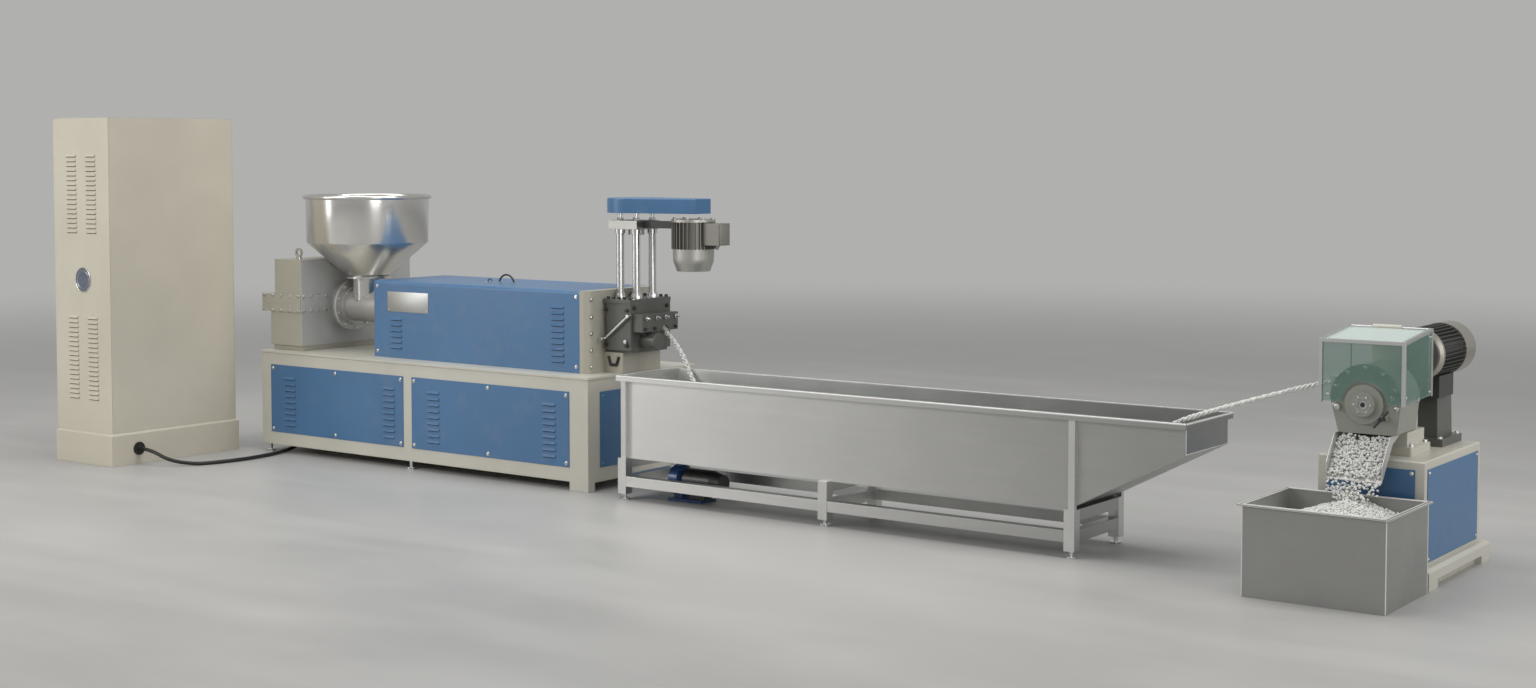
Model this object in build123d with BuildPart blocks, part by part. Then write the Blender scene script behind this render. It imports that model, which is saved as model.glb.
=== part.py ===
"""Plastic recycling pelletizing line: cabinet, extruder, die head, water trough, pelletizer and bin.

Millimetres, +Z up. The line runs along +X from the cabinet to the pelletizer, and -Y is its near side.
The origin is on the floor, under the middle of the line.
"""

import os
from math import pi, tan, radians

from build123d import *

# Driving dimensions, along the line
CABINET_WIDTH = 506
CABINET_GAP = 150
BASE_LENGTH = 2480
TROUGH_GAP = 230
TROUGH_LENGTH = 3020
BIN_GAP = 328
BIN_WIDTH = 562
BIN_LIP = 16
# Driving dimensions, across the line
CABINET_DEPTH = 856
CABINET_TO_CASING = 1132
CABINET_TO_AXIS = 1317
TROUGH_SHIFT = 230
BIN_SHIFT = 288
# Fits
SEAT = 0.3
RUNNING = 0.05
MOVING = 6

# Electrical cabinet
CABINET_HEIGHT = 1900
CABINET_SHEET = 3
PLINTH_HEIGHT = 177
PLINTH_LIP = 12
DOOR_THICK = 17
DOOR_GAP = 5
DOOR_PROUD = DOOR_GAP + DOOR_THICK - PLINTH_LIP
KNUCKLE_RADIUS = 6
KNUCKLE_LENGTH = 30
HINGE_PIN = 3
CABINET_LOUVRE_PITCH = 26
PANEL_LOUVRE_PITCH = 33
COVER_LOUVRE_PITCH = 31
LOUVRE_WIDTH = 88
LOUVRE_DEPTH = 7
LOUVRE_MARGIN = 104
LOUVRE_HEIGHT = 14
LOUVRES_BELOW_ROOF = 415
LOUVRES_ABOVE_PLINTH = 408
HINGE_LOW = 183
HINGE_HIGH = 210

# Extruder base
BASE_DEPTH = 850
BASE_AXIS_OFFSET = 410
BASE_TOP = 580
BASE_FLOOR = 112
RAIL_UNDERSIDE = 45
BASE_STILE = 80
BASE_POST = 65
BASE_LEG = 125
PANEL_TOP_MARGIN = 78
PANEL_SHEET = 3
FOOT_RADIUS = 26

# Drive and barrel
AXIS_HEIGHT = 828
GEARBOX_LENGTH = 262
GEARBOX_WIDTH = 840
GEARBOX_SHIFT = 75
GEARBOX_ABOVE_AXIS = 272
GEARBOX_FOOT = 28
UPPER_SETBACK = 36
FLANGE_BAND = 66
FLANGE_LIP = 8
FLANGE_HEIGHT = 100
FLANGE_ABOVE_AXIS = 22
FACE_PLATE = 4
THRUST_RADIUS = 152
THRUST_NECK = 140
THRUST_START = 42
THRUST_LENGTH = 64
SLEEVE_RADIUS = 112
SLEEVE_LENGTH = 82
BARREL_RADIUS = 92
NECK_RADIUS = 88
HOPPER_STAND = 443
NECK_RISE = 80
NECK_FLANGE = 12
NECK_FLANGE_LIP = 10
NECK_WALL = 12
HOPPER_CONE = 196
HOPPER_BOWL = 272
HOPPER_RADIUS = 344
HOPPER_FLARE = 6
HOPPER_RELIEF = 12
HOPPER_THROAT_RADIUS = 118
HOPPER_SHEET = 3
HOPPER_BEAD = 12

# Barrel cover
COVER_START = 796
COVER_TO_BASE_END = 169
COVER_LOUVRE_LEFT = 128
COVER_LOUVRE_RIGHT = 196
COVER_LOUVRE_LOW = 138
COVER_LOUVRE_HIGH = 197
HANDLE_AT = 740
HANDLE_SMALL_AT = 615
COVER_WIDTH = 560
COVER_TOP = 1003
COVER_ROUND = 18
END_LENGTH = 59

# Die head and screen changer
HEAD_LENGTH = 184
HEAD_WIDTH = 320
HEAD_BOTTOM = 700
HEAD_TOP = 940
HEAD_PLATE = 20
DIE_LENGTH = 64
DIE_WIDTH = 288
DIE_BOTTOM = 796
DIE_TOP = 887
HOOD_RADIUS = 42
HOOD_LENGTH = 96
HOOD_HEIGHT = 746
HOOD_SHIFT = 56
NOZZLE_RADIUS = 16
NOZZLE_LENGTH = 58
NOZZLE_SHIFT = 31
LEVER_STANDOFF = 16
LEVER_END = 180

# Tower
COLUMN_RADIUS = 20
COLUMN_X = 54
COLUMN_Y = 64
TOWER_OFFSET = 86
TOWER_PLATE_BOTTOM = 1315
TOWER_PLATE = 45
TOWER_PLATE_X = 190
TOWER_PLATE_SHIFT = -17
TOWER_PLATE_Y = 180
STUD_HEIGHT = 40
BELT_HEIGHT = 76
BELT_BIG_RADIUS = 150
BELT_SMALL_HALF = 62
TOWER_MOTOR_REACH = 376
MOTOR_SMALL_RADIUS = 112
MOTOR_SMALL_FINS = 150
MOTOR_SMALL_COWL = 112
TERMINAL_REACH = 196

# Water trough
TROUGH_WIDTH = 470
TROUGH_RIM = 612
TROUGH_BOTTOM = 207
TROUGH_LIP = 25
TROUGH_INSET = 41
TROUGH_SHEET = 3
TROUGH_SLOPE_RUN = 540
TROUGH_END_DROP = 130
LEG = 50
LEG_SETBACK = 3
LEG_FIRST = 10
LEG_MIDDLE = 1208
LEG_LAST = 2468
TROUGH_RAIL_BOTTOM = 68
TROUGH_FOOT = 30

# Pump under the trough
PUMP_X = 375
PUMP_LENGTH = 345
PUMP_RADIUS = 62
PUMP_BASE = 12
PUMP_SETBACK = 195
PUMP_AXIS = 96
PUMP_PLATE = (-158, 52)
PUMP_PLATE_WIDTH = 120
PUMP_VOLUTE = 74
PUMP_THICK = 84

# Collecting bin
BIN_DEPTH = 470
BIN_HEIGHT = 356
BIN_SHEET = 3

# Pelletizer
PELLETIZER_SHIFT = 30
PEL_WIDTH = 427
PEL_DEPTH = 710
PEL_TOP = 500
PLINTH_TOP = 85
PEL_PLINTH_LIP = 36
PEL_BODY_SETBACK = 10
CASING_OFFSET = 22
CASING_AXIS = 712
CASING_RADIUS = 143
CASING_RISE = 16
CASING_FOOT_LEFT = 108
CASING_FOOT_RIGHT = 128
CASING_DEPTH = 220
CASING_WALL = 22
CASING_MOUTH = 594
DOOR_PLATE = 22
HUB_RADIUS = 78
HUB_LENGTH = 34
HUB_RING = 48
ROTOR_RADIUS = 104
ROTOR_CORE = 64
MOUTH_DEPTH = 50
BEARING_DEPTH = 80
CLAMP_SCREW = 6
CLAMP_BOSS = 22
CLAMP_REACH = 50
THROAT_REACH = 160
EYE_RADIUS = 14
BRACKET_WIDTH = 120
MOTOR_OFFSET = 80
PEDESTAL_TOP = 705
PEDESTAL_FOOT = 240
PEDESTAL_WIDTH = 180
PEDESTAL_SHIFT = 38
SHAFT_RADIUS = 17
BLADES = 8
BLADE_RAKE = 18
BLADE_SKEW = 14
MOTOR_COUPLING = 146
MOTOR_LENGTH = 454
MOTOR_RADIUS = 108
MOTOR_HEIGHT = 885
GUARD_WIDTH = 349
GUARD_FRONT_TOP = 967
GUARD_BACK_TOP = 1000
GUARD_BOTTOM = 712
GUARD_DEPTH = 335
GUARD_RIGHT = 164
GUARD_BAR = 14
GLASS = 5
CHUTE_WIDTH = 226
CHUTE_SHEET = 3
CHUTE_LIP_HEIGHT = 425
CHUTE_REACH = 120
CHUTE_SLOPE = 50

# Cable and strands
CABLE_RADIUS = 10
STRAND_RADIUS = 11
GLAND_LENGTH = 28
INLET_WIDTH = 44
INLET_HEIGHT = 36
GLAND_SETBACK = 172
GLAND_HEIGHT = 85

# Places worked out from the driving dimensions
LINE_LENGTH = (
    DOOR_PROUD + CABINET_WIDTH + CABINET_GAP + BASE_LENGTH + TROUGH_GAP + TROUGH_LENGTH
    + BIN_GAP + BIN_WIDTH + 2 * BIN_LIP
)
LINE_DEPTH = CABINET_TO_CASING + CASING_DEPTH + MOTOR_COUPLING + MOTOR_LENGTH
x_cabinet = -LINE_LENGTH / 2 + DOOR_PROUD
x_base = x_cabinet + CABINET_WIDTH + CABINET_GAP
x_base_end = x_base + BASE_LENGTH
x_trough = x_base_end + TROUGH_GAP
x_trough_end = x_trough + TROUGH_LENGTH
x_bin = x_trough_end + BIN_GAP + BIN_LIP + BIN_WIDTH / 2
x_pel = x_bin + PELLETIZER_SHIFT
x_casing = x_pel - CASING_OFFSET
y_near = -LINE_DEPTH / 2
y_axis = y_near + CABINET_TO_AXIS
y_trough = y_axis - TROUGH_SHIFT
y_casing = y_near + CABINET_TO_CASING
y_bin = y_casing - BIN_SHIFT
y_motor = y_casing + CASING_DEPTH + MOTOR_COUPLING

x_gearbox = x_base + 6
x_gearbox_end = x_gearbox + GEARBOX_LENGTH
x_hopper = x_base + HOPPER_STAND
x_cover = x_base + COVER_START
x_cover_end = x_base_end - COVER_TO_BASE_END
x_head = x_cover_end + END_LENGTH
x_tower = x_head + TOWER_OFFSET
x_head_end = x_head + HEAD_LENGTH
y_base = y_axis - BASE_AXIS_OFFSET
gearbox_top = AXIS_HEIGHT + GEARBOX_ABOVE_AXIS
flange_middle = AXIS_HEIGHT + FLANGE_ABOVE_AXIS
hopper_throat = AXIS_HEIGHT + BARREL_RADIUS + NECK_RISE
hopper_shoulder = hopper_throat + HOPPER_CONE
hopper_rim_z = hopper_shoulder + HOPPER_BOWL
inlet_y = (y_casing + 58, y_casing + 58 + INLET_WIDTH)
inlet_z = (CASING_AXIS + 50, CASING_AXIS + 50 + INLET_HEIGHT)

def keep(name, piece):
    """Label a finished piece and write it to its own file."""
    piece.label = name
    export_step(piece, f"parts/{name}.step")


def block(x, y, z, mode=Mode.ADD):
    """A block between two values on each axis."""
    with Locations(((x[0] + x[1]) / 2, (y[0] + y[1]) / 2, (z[0] + z[1]) / 2)):
        Box(x[1] - x[0], y[1] - y[0], z[1] - z[0], mode=mode)


def span(middle, size):
    """The two ends of a size that is centred on middle."""
    return (middle - size / 2, middle + size / 2)


def rod(start, end, radius, mode=Mode.ADD):
    """A round bar from start to end."""
    along = Vector(*end) - Vector(*start)
    with BuildSketch(Plane(origin=start, z_dir=along)) as section:
        Circle(radius)
    extrude(section.sketch, amount=along.length, mode=mode)


def turned(profile, axis_origin, axis_dir):
    """A turned solid from (distance along the axis, radius) points, closed on the axis."""
    plane = Plane(origin=axis_origin, x_dir=axis_dir, z_dir=square_to(axis_dir))
    with BuildSketch(plane) as half:
        with BuildLine():
            Polyline([(profile[0][0], 0), *profile, (profile[-1][0], 0)], close=True)
        make_face()
    revolve(half.sketch, axis=Axis(axis_origin, axis_dir))


def square_to(direction):
    """A direction at right angles to the given axis direction."""
    if abs(direction[2]) > 0.5:
        return (0, -1, 0)
    return Vector(*direction).cross(Vector(0, 0, 1))


def louvre_column(x, y_face, z_middle, count, pitch):
    """A column of pressed louvre hoods on a near-side sheet, each open at its lower edge."""
    with BuildSketch(Plane.YZ.offset(x)) as hoods:
        for i in range(count):
            low = z_middle + (i - (count - 1) / 2) * pitch - LOUVRE_HEIGHT / 2
            lip = y_face - LOUVRE_DEPTH
            top = low + LOUVRE_HEIGHT
            Polygon((y_face, low), (lip, low), (lip, low + 2), (y_face, top), align=None)
    extrude(hoods.sketch, amount=LOUVRE_WIDTH)


def hopper_relief():
    """Cut the hollow that leaves the hopper's cone clear of the gearbox."""
    wide = HOPPER_RADIUS + HOPPER_FLARE + HOPPER_RELIEF
    narrow = HOPPER_THROAT_RADIUS + HOPPER_RELIEF
    with BuildSketch(Plane(origin=(x_hopper, y_axis, 0), x_dir=(1, 0, 0), z_dir=(0, -1, 0))) as hollow:
        Polygon(
            (0, hopper_throat - HOPPER_RELIEF),
            (narrow, hopper_throat - HOPPER_RELIEF),
            (wide, hopper_shoulder - HOPPER_RELIEF),
            (0, hopper_shoulder - HOPPER_RELIEF),
            align=None,
        )
    revolve(hollow.sketch, axis=Axis((x_hopper, y_axis, 0), (0, 0, 1)), mode=Mode.SUBTRACT)


os.makedirs("parts", exist_ok=True)

# Cabinet plinth: a folded base frame with a sloping top edge
with BuildPart() as cabinet_plinth:
    block(
        (x_cabinet, x_cabinet + CABINET_WIDTH),
        (y_near, y_near + CABINET_DEPTH),
        (0, PLINTH_HEIGHT),
    )
    top_edges = cabinet_plinth.faces().sort_by(Axis.Z)[-1].edges()
    chamfer(top_edges, length=PLINTH_LIP - 1)
keep("cabinet_plinth", cabinet_plinth.part)

body_x = (x_cabinet + PLINTH_LIP, x_cabinet + CABINET_WIDTH - PLINTH_LIP)
body_y = (y_near + PLINTH_LIP, y_near + CABINET_DEPTH - PLINTH_LIP)
roof_bottom = CABINET_HEIGHT - CABINET_SHEET

# Side panels: the near one carries four columns of louvres
louvre_x = (body_x[0] + LOUVRE_MARGIN, body_x[1] - LOUVRE_MARGIN - LOUVRE_WIDTH - 12)
with BuildPart() as cabinet_side_panels:
    block(body_x, (body_y[0], body_y[0] + CABINET_SHEET), (PLINTH_HEIGHT, roof_bottom))
    for x in louvre_x:
        louvre_column(x, body_y[0], CABINET_HEIGHT - LOUVRES_BELOW_ROOF, 17, CABINET_LOUVRE_PITCH)
        louvre_column(x, body_y[0], PLINTH_HEIGHT + LOUVRES_ABOVE_PLINTH, 18, CABINET_LOUVRE_PITCH)
    block(body_x, (body_y[1] - CABINET_SHEET, body_y[1]), (PLINTH_HEIGHT, roof_bottom))
keep("cabinet_side_panels", cabinet_side_panels.part)

with BuildPart() as cabinet_back_panel:
    block(
        (body_x[1] - CABINET_SHEET, body_x[1]),
        (body_y[0] + CABINET_SHEET, body_y[1] - CABINET_SHEET),
        (PLINTH_HEIGHT, roof_bottom),
    )
keep("cabinet_back_panel", cabinet_back_panel.part)

with BuildPart() as cabinet_roof:
    block(body_x, body_y, (roof_bottom, CABINET_HEIGHT))
keep("cabinet_roof", cabinet_roof.part)

# Door: a folded tray that closes the side away from the extruder
door_x = (body_x[0] - DOOR_GAP - DOOR_THICK, body_x[0] - DOOR_GAP)
door_z = (PLINTH_HEIGHT + 12, CABINET_HEIGHT - 12)
door_hinge = (door_x[1] - 3, body_y[1] + KNUCKLE_RADIUS)
handle_z = (PLINTH_HEIGHT + HINGE_LOW + CABINET_HEIGHT - HINGE_HIGH) / 2
hinge_z = (PLINTH_HEIGHT + HINGE_LOW, handle_z, CABINET_HEIGHT - HINGE_HIGH)
with BuildPart() as cabinet_door:
    block(door_x, (body_y[0] + 4, body_y[1] - 4), door_z)
    fillet(cabinet_door.edges().filter_by(Axis.Z).group_by(Axis.X)[0], radius=4)
    block(
        (door_x[0] - 1, door_x[0] + 14),
        (body_y[0] + 34, body_y[0] + 72),
        (handle_z - 85, handle_z + 85),
        mode=Mode.SUBTRACT,
    )
    for z in hinge_z:
        block(
            (door_x[0] + 3, door_hinge[0]),
            (body_y[1] - 4, body_y[1] + KNUCKLE_RADIUS / 2),
            (z + 1, z + KNUCKLE_LENGTH),
        )
        rod((*door_hinge, z + 1), (*door_hinge, z + KNUCKLE_LENGTH), KNUCKLE_RADIUS)
        rod((*door_hinge, z), (*door_hinge, z + KNUCKLE_LENGTH + 1), HINGE_PIN + RUNNING, mode=Mode.SUBTRACT)
keep("cabinet_door", cabinet_door.part)

# Hinges on the cabinet's far side, each with a leaf, a knuckle and a pin
with BuildPart() as door_hinges:
    for z in hinge_z:
        block(
            (door_hinge[0], body_x[0] + 36),
            (body_y[1], body_y[1] + KNUCKLE_RADIUS / 2),
            (z - KNUCKLE_LENGTH, z),
        )
        rod((*door_hinge, z - KNUCKLE_LENGTH), (*door_hinge, z), KNUCKLE_RADIUS)
        rod((*door_hinge, z - 1), (*door_hinge, z + KNUCKLE_LENGTH), HINGE_PIN)
keep("door_hinges", door_hinges.part)

# Paddle handle let into the door
with BuildPart() as door_handle:
    block(
        (door_x[0] + 2, door_x[0] + 14),
        (body_y[0] + 37, body_y[0] + 69),
        (handle_z - 80, handle_z + 80),
    )
    fillet(door_handle.edges().filter_by(Axis.X), radius=8)
keep("door_handle", door_handle.part)

# Extruder base: a welded box frame closed by bolted panels, with a cable inlet box below
base_y = (y_base, y_base + BASE_DEPTH)
box_x = span(x_base + 141, 120)
box_y = (y_base + 300, y_base + 390)
panel_z = (RAIL_UNDERSIDE + 72, BASE_TOP - PANEL_TOP_MARGIN)
mid_post = x_base + 1190
with BuildPart() as base_frame:
    block((x_base, x_base_end), base_y, (BASE_FLOOR, BASE_TOP))
    for y in (base_y[0] + 25, base_y[1] - 25):
        block((x_base, x_base_end - BASE_LEG), span(y, 50), (RAIL_UNDERSIDE, BASE_FLOOR))
    block((x_base, x_base + 60), base_y, (RAIL_UNDERSIDE, BASE_FLOOR))
    block((x_base_end - BASE_LEG, x_base_end), base_y, (RAIL_UNDERSIDE, BASE_FLOOR))
    for y in (base_y[0] + 25, base_y[1] - 25):
        block((x_base_end - BASE_LEG, x_base_end), span(y, 50), (0, RAIL_UNDERSIDE))
    block((x_base - 6, x_base_end + 6), (base_y[0] - 6, base_y[1] + 6), (BASE_TOP - 12, BASE_TOP))
    block(box_x, box_y, (20, BASE_FLOOR))
keep("base_frame", base_frame.part)

# Panels bolted to the base, two on each long side and one on each end
with BuildPart() as base_panels:
    for y in (base_y[0] - PANEL_SHEET, base_y[1]):
        block((x_base + BASE_STILE, mid_post - BASE_POST / 2), (y, y + PANEL_SHEET), panel_z)
        block((mid_post + BASE_POST / 2, x_base_end - BASE_LEG), (y, y + PANEL_SHEET), panel_z)
    for x in (x_base + 198, mid_post - 188, mid_post + 153, x_base_end - 305):
        louvre_column(x, base_y[0] - PANEL_SHEET, 298, 9, PANEL_LOUVRE_PITCH)
    for x in (x_base - PANEL_SHEET, x_base_end):
        block((x, x + PANEL_SHEET), (base_y[0] + 90, base_y[1] - 90), panel_z)
keep("base_panels", base_panels.part)

# Gearbox: two halves bolted along a flange band, on a foot, with a polished face plate
gear_y = span(y_axis + GEARBOX_SHIFT, GEARBOX_WIDTH)
gear_x = (x_gearbox, x_gearbox_end - FACE_PLATE)
band_x = (x_gearbox - FLANGE_BAND, gear_x[1])
band_y = (gear_y[0] - FLANGE_LIP, gear_y[1])
band_z = span(flange_middle, FLANGE_HEIGHT)
foot_z = (BASE_TOP, BASE_TOP + GEARBOX_FOOT)
with BuildPart() as gearbox_lower:
    block((gear_x[0] + 10, gear_x[1]), (gear_y[0] + 12, base_y[1]), foot_z)
    block(gear_x, gear_y, (foot_z[1], flange_middle))
    block(band_x, band_y, (band_z[0], flange_middle))
keep("gearbox_lower", gearbox_lower.part)
with BuildPart() as gearbox_upper:
    block((gear_x[0] + UPPER_SETBACK, gear_x[1]), gear_y, (flange_middle, gearbox_top))
    block(band_x, band_y, (flange_middle, band_z[1]))
    hopper_relief()
keep("gearbox_upper", gearbox_upper.part)
with BuildPart() as gearbox_face:
    block((gear_x[1], x_gearbox_end), gear_y, (foot_z[1], gearbox_top))
    block((gear_x[1], x_gearbox_end + FACE_PLATE), (gear_y[0], y_axis - THRUST_RADIUS), band_z)
    hopper_relief()
keep("gearbox_face", gearbox_face.part)

# Lifting eye
eye = (x_gearbox_end - 70, gear_y[0] + 45)
with BuildPart() as lifting_eye:
    rod((*eye, gearbox_top), (*eye, gearbox_top + 14), 16)
    with BuildSketch(Plane.XZ.offset(-eye[1])) as ring:
        with Locations((eye[0], gearbox_top + 38)):
            Circle(27)
            Circle(17, mode=Mode.SUBTRACT)
    extrude(ring.sketch, amount=5, both=True)
keep("lifting_eye", lifting_eye.part)

# Thrust flange and barrel, turned about the screw axis
with BuildPart() as barrel:
    turned(
        [
            (0, THRUST_NECK),
            (THRUST_START, THRUST_NECK),
            (THRUST_START, THRUST_RADIUS),
            (THRUST_LENGTH - 6, THRUST_RADIUS),
            (THRUST_LENGTH, THRUST_RADIUS - 6),
            (THRUST_LENGTH, SLEEVE_RADIUS),
            (SLEEVE_LENGTH, SLEEVE_RADIUS),
            (SLEEVE_LENGTH, BARREL_RADIUS),
            (x_cover - x_gearbox_end, BARREL_RADIUS),
        ],
        (x_gearbox_end, y_axis, AXIS_HEIGHT),
        (1, 0, 0),
    )
keep("barrel", barrel.part)

# Feed neck: a saddle on the barrel, and above it a ring flange that the hopper stands on
neck_top = hopper_throat - NECK_FLANGE
with BuildPart() as feed_neck:
    rod((x_hopper, y_axis, AXIS_HEIGHT), (x_hopper, y_axis, neck_top), NECK_RADIUS)
    rod((x_hopper, y_axis, AXIS_HEIGHT + BARREL_RADIUS + 6), (x_hopper, y_axis, neck_top), NECK_RADIUS - NECK_WALL,
        mode=Mode.SUBTRACT)
    rod((x_gearbox_end, y_axis, AXIS_HEIGHT), (x_cover, y_axis, AXIS_HEIGHT), BARREL_RADIUS + SEAT,
        mode=Mode.SUBTRACT)
    split(bisect_by=Plane.XY.offset(AXIS_HEIGHT), keep=Keep.TOP)
keep("feed_neck", feed_neck.part)
with BuildPart() as neck_flange:
    rod((x_hopper, y_axis, neck_top), (x_hopper, y_axis, hopper_throat), HOPPER_THROAT_RADIUS + NECK_FLANGE_LIP)
    rod((x_hopper, y_axis, neck_top), (x_hopper, y_axis, hopper_throat), NECK_RADIUS - NECK_WALL,
        mode=Mode.SUBTRACT)
keep("neck_flange", neck_flange.part)

# Hopper: one spun shell with a rolled rim
rim_radius = HOPPER_RADIUS + HOPPER_FLARE
with BuildPart() as hopper:
    with BuildSketch(Plane(origin=(x_hopper, y_axis, 0), x_dir=(1, 0, 0), z_dir=(0, -1, 0))) as wall:
        with BuildLine():
            Polyline(
                [
                    (HOPPER_THROAT_RADIUS, hopper_throat),
                    (HOPPER_RADIUS, hopper_shoulder),
                    (rim_radius, hopper_rim_z - HOPPER_BEAD),
                    (rim_radius - HOPPER_SHEET, hopper_rim_z - HOPPER_BEAD),
                    (HOPPER_RADIUS - HOPPER_SHEET, hopper_shoulder + 1),
                    (HOPPER_THROAT_RADIUS - HOPPER_SHEET - 1, hopper_throat),
                ],
                close=True,
            )
        make_face()
        with Locations((rim_radius + 3, hopper_rim_z - HOPPER_BEAD)):
            Circle(HOPPER_BEAD)
    revolve(wall.sketch, axis=Axis((x_hopper, y_axis, 0), (0, 0, 1)))
keep("hopper", hopper.part)

# Barrel cover: sheet housing over the heated barrel
cover_y = span(y_axis, COVER_WIDTH)
with BuildPart() as barrel_cover:
    block((x_cover, x_cover_end), cover_y, (BASE_TOP, COVER_TOP))
    fillet(barrel_cover.edges().filter_by(Axis.X).group_by(Axis.Z)[-1], radius=COVER_ROUND)
    louvre_column(x_cover + COVER_LOUVRE_LEFT, cover_y[0], BASE_TOP + COVER_LOUVRE_LOW, 6, COVER_LOUVRE_PITCH)
    louvre_column(x_cover_end - COVER_LOUVRE_RIGHT, cover_y[0], BASE_TOP + COVER_LOUVRE_HIGH, 10, COVER_LOUVRE_PITCH)
keep("barrel_cover", barrel_cover.part)

# Arch handles on the cover
with BuildPart() as cover_handles:
    for x, reach, rise in ((x_cover + HANDLE_AT, 55, 42), (x_cover + HANDLE_SMALL_AT, 16, 14)):
        with BuildLine() as arch:
            start = (x - reach, y_axis, COVER_TOP)
            end = (x + reach, y_axis, COVER_TOP)
            ThreePointArc(start, (x, y_axis, COVER_TOP + rise), end)
        with BuildSketch(Plane(origin=arch.line @ 0, z_dir=arch.line % 0)) as section:
            Circle(5 if rise > 20 else 3)
        sweep(section.sketch, path=arch.line)
    block((x_cover, x_cover_end), cover_y, (BASE_TOP, COVER_TOP), mode=Mode.SUBTRACT)
keep("cover_handles", cover_handles.part)

# End housing between the cover and the die head, with rounded uprights and a foot under the head
head_y = span(y_axis - 5, HEAD_WIDTH)
with BuildPart() as end_housing:
    block((x_cover_end, x_head), cover_y, (BASE_TOP, COVER_TOP))
    fillet(end_housing.edges().filter_by(Axis.Z).group_by(Axis.X)[-1], radius=END_LENGTH * 0.6)
    block((x_cover_end, x_head + HEAD_LENGTH - 60), (head_y[0] + 10, head_y[1] - 10), (BASE_TOP, HEAD_BOTTOM - 14))
keep("end_housing", end_housing.part)

# Die head: block with a rounded near corner and a bolted top plate
with BuildPart() as die_head:
    block((x_head, x_head_end), head_y, (HEAD_BOTTOM, HEAD_TOP))
    fillet(die_head.edges().filter_by(Axis.Z).group_by(Axis.X)[0], radius=30)
    block((x_head, x_head_end - 6), (head_y[0] + 20, head_y[1] - 20), (HEAD_BOTTOM - 14, HEAD_BOTTOM))
keep("die_head", die_head.part)
with BuildPart() as head_top_plate:
    block((x_head + 4, x_head_end), (head_y[0] - 4, head_y[1] + 4), (HEAD_TOP, HEAD_TOP + HEAD_PLATE))
keep("head_top_plate", head_top_plate.part)
die_y = span(y_axis - 5, DIE_WIDTH)
with BuildPart() as die_plate:
    block((x_head_end, x_head_end + DIE_LENGTH), die_y, (DIE_BOTTOM, DIE_TOP))
keep("die_plate", die_plate.part)

# Half-round hood that carries the strands clear of the head, and its bracket
hood_y = y_axis - HOOD_SHIFT
with BuildPart() as die_hood:
    rod((x_head_end, hood_y, HOOD_HEIGHT), (x_head_end + HOOD_LENGTH, hood_y, HOOD_HEIGHT), HOOD_RADIUS)
    fillet(die_hood.edges().group_by(Axis.X)[-1], radius=6)
    block((x_head_end, x_head_end + 24), span(hood_y, 60), (HOOD_HEIGHT, DIE_BOTTOM))
keep("die_hood", die_hood.part)

# Strand outlet: a short pipe slanting out from under the die
nozzle_start = Vector(x_head_end + 39, y_axis + NOZZLE_SHIFT, DIE_BOTTOM + 23)
nozzle_run = Vector(262, -60, -180).normalized()
nozzle_end = nozzle_start + nozzle_run * NOZZLE_LENGTH
with BuildPart() as die_nozzle:
    rod(tuple(nozzle_start), tuple(nozzle_end), NOZZLE_RADIUS)
    block((x_head_end, x_head_end + DIE_LENGTH), die_y, (DIE_BOTTOM, DIE_TOP), mode=Mode.SUBTRACT)
keep("die_nozzle", die_nozzle.part)

# Tie rod across the near face of the head
with BuildPart() as head_lever:
    lever_y = head_y[0] - LEVER_STANDOFF
    lever_low = (x_head + 22, 756)
    lever_high = (x_head + LEVER_END, 878)
    rod((lever_low[0], lever_y, lever_low[1]), (lever_high[0], lever_y, lever_high[1]), 7)
    rod((lever_low[0], head_y[0], lever_low[1]), (lever_low[0], lever_y - 12, lever_low[1]), 11)
    rod((lever_high[0], head_y[0], lever_high[1]), (lever_high[0], lever_y - 8, lever_high[1]), 9)
keep("head_lever", head_lever.part)

# Tower columns, top plate and lead screw
plate_top = TOWER_PLATE_BOTTOM + TOWER_PLATE
head_plate_top = HEAD_TOP + HEAD_PLATE
with BuildPart() as tower_columns:
    for dx in (-COLUMN_X, COLUMN_X):
        for dy in (-COLUMN_Y, COLUMN_Y):
            foot = (x_tower + dx, y_axis + dy)
            rod((*foot, head_plate_top), (*foot, TOWER_PLATE_BOTTOM), COLUMN_RADIUS)
            rod((*foot, plate_top), (*foot, plate_top + STUD_HEIGHT), 9)
keep("tower_columns", tower_columns.part)
with BuildPart() as lead_screw:
    rod((x_tower, y_axis, head_plate_top), (x_tower, y_axis, TOWER_PLATE_BOTTOM - 30), 12)
    rod((x_tower, y_axis, TOWER_PLATE_BOTTOM - 30), (x_tower, y_axis, TOWER_PLATE_BOTTOM), 42)
keep("lead_screw", lead_screw.part)
plate_x = span(x_tower + TOWER_PLATE_SHIFT, TOWER_PLATE_X)
with BuildPart() as tower_plate:
    block(plate_x, span(y_axis, TOWER_PLATE_Y), (TOWER_PLATE_BOTTOM, plate_top))
keep("tower_plate", tower_plate.part)
x_motor = x_tower + TOWER_MOTOR_REACH
with BuildPart() as motor_bracket:
    block(
        (plate_x[1], x_motor),
        (y_axis - 40, y_axis + 70),
        (TOWER_PLATE_BOTTOM + 8, plate_top - 3),
    )
    rod((x_motor, y_axis, TOWER_PLATE_BOTTOM), (x_motor, y_axis, plate_top), MOTOR_SMALL_RADIUS + SEAT,
        mode=Mode.SUBTRACT)
keep("motor_bracket", motor_bracket.part)

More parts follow.
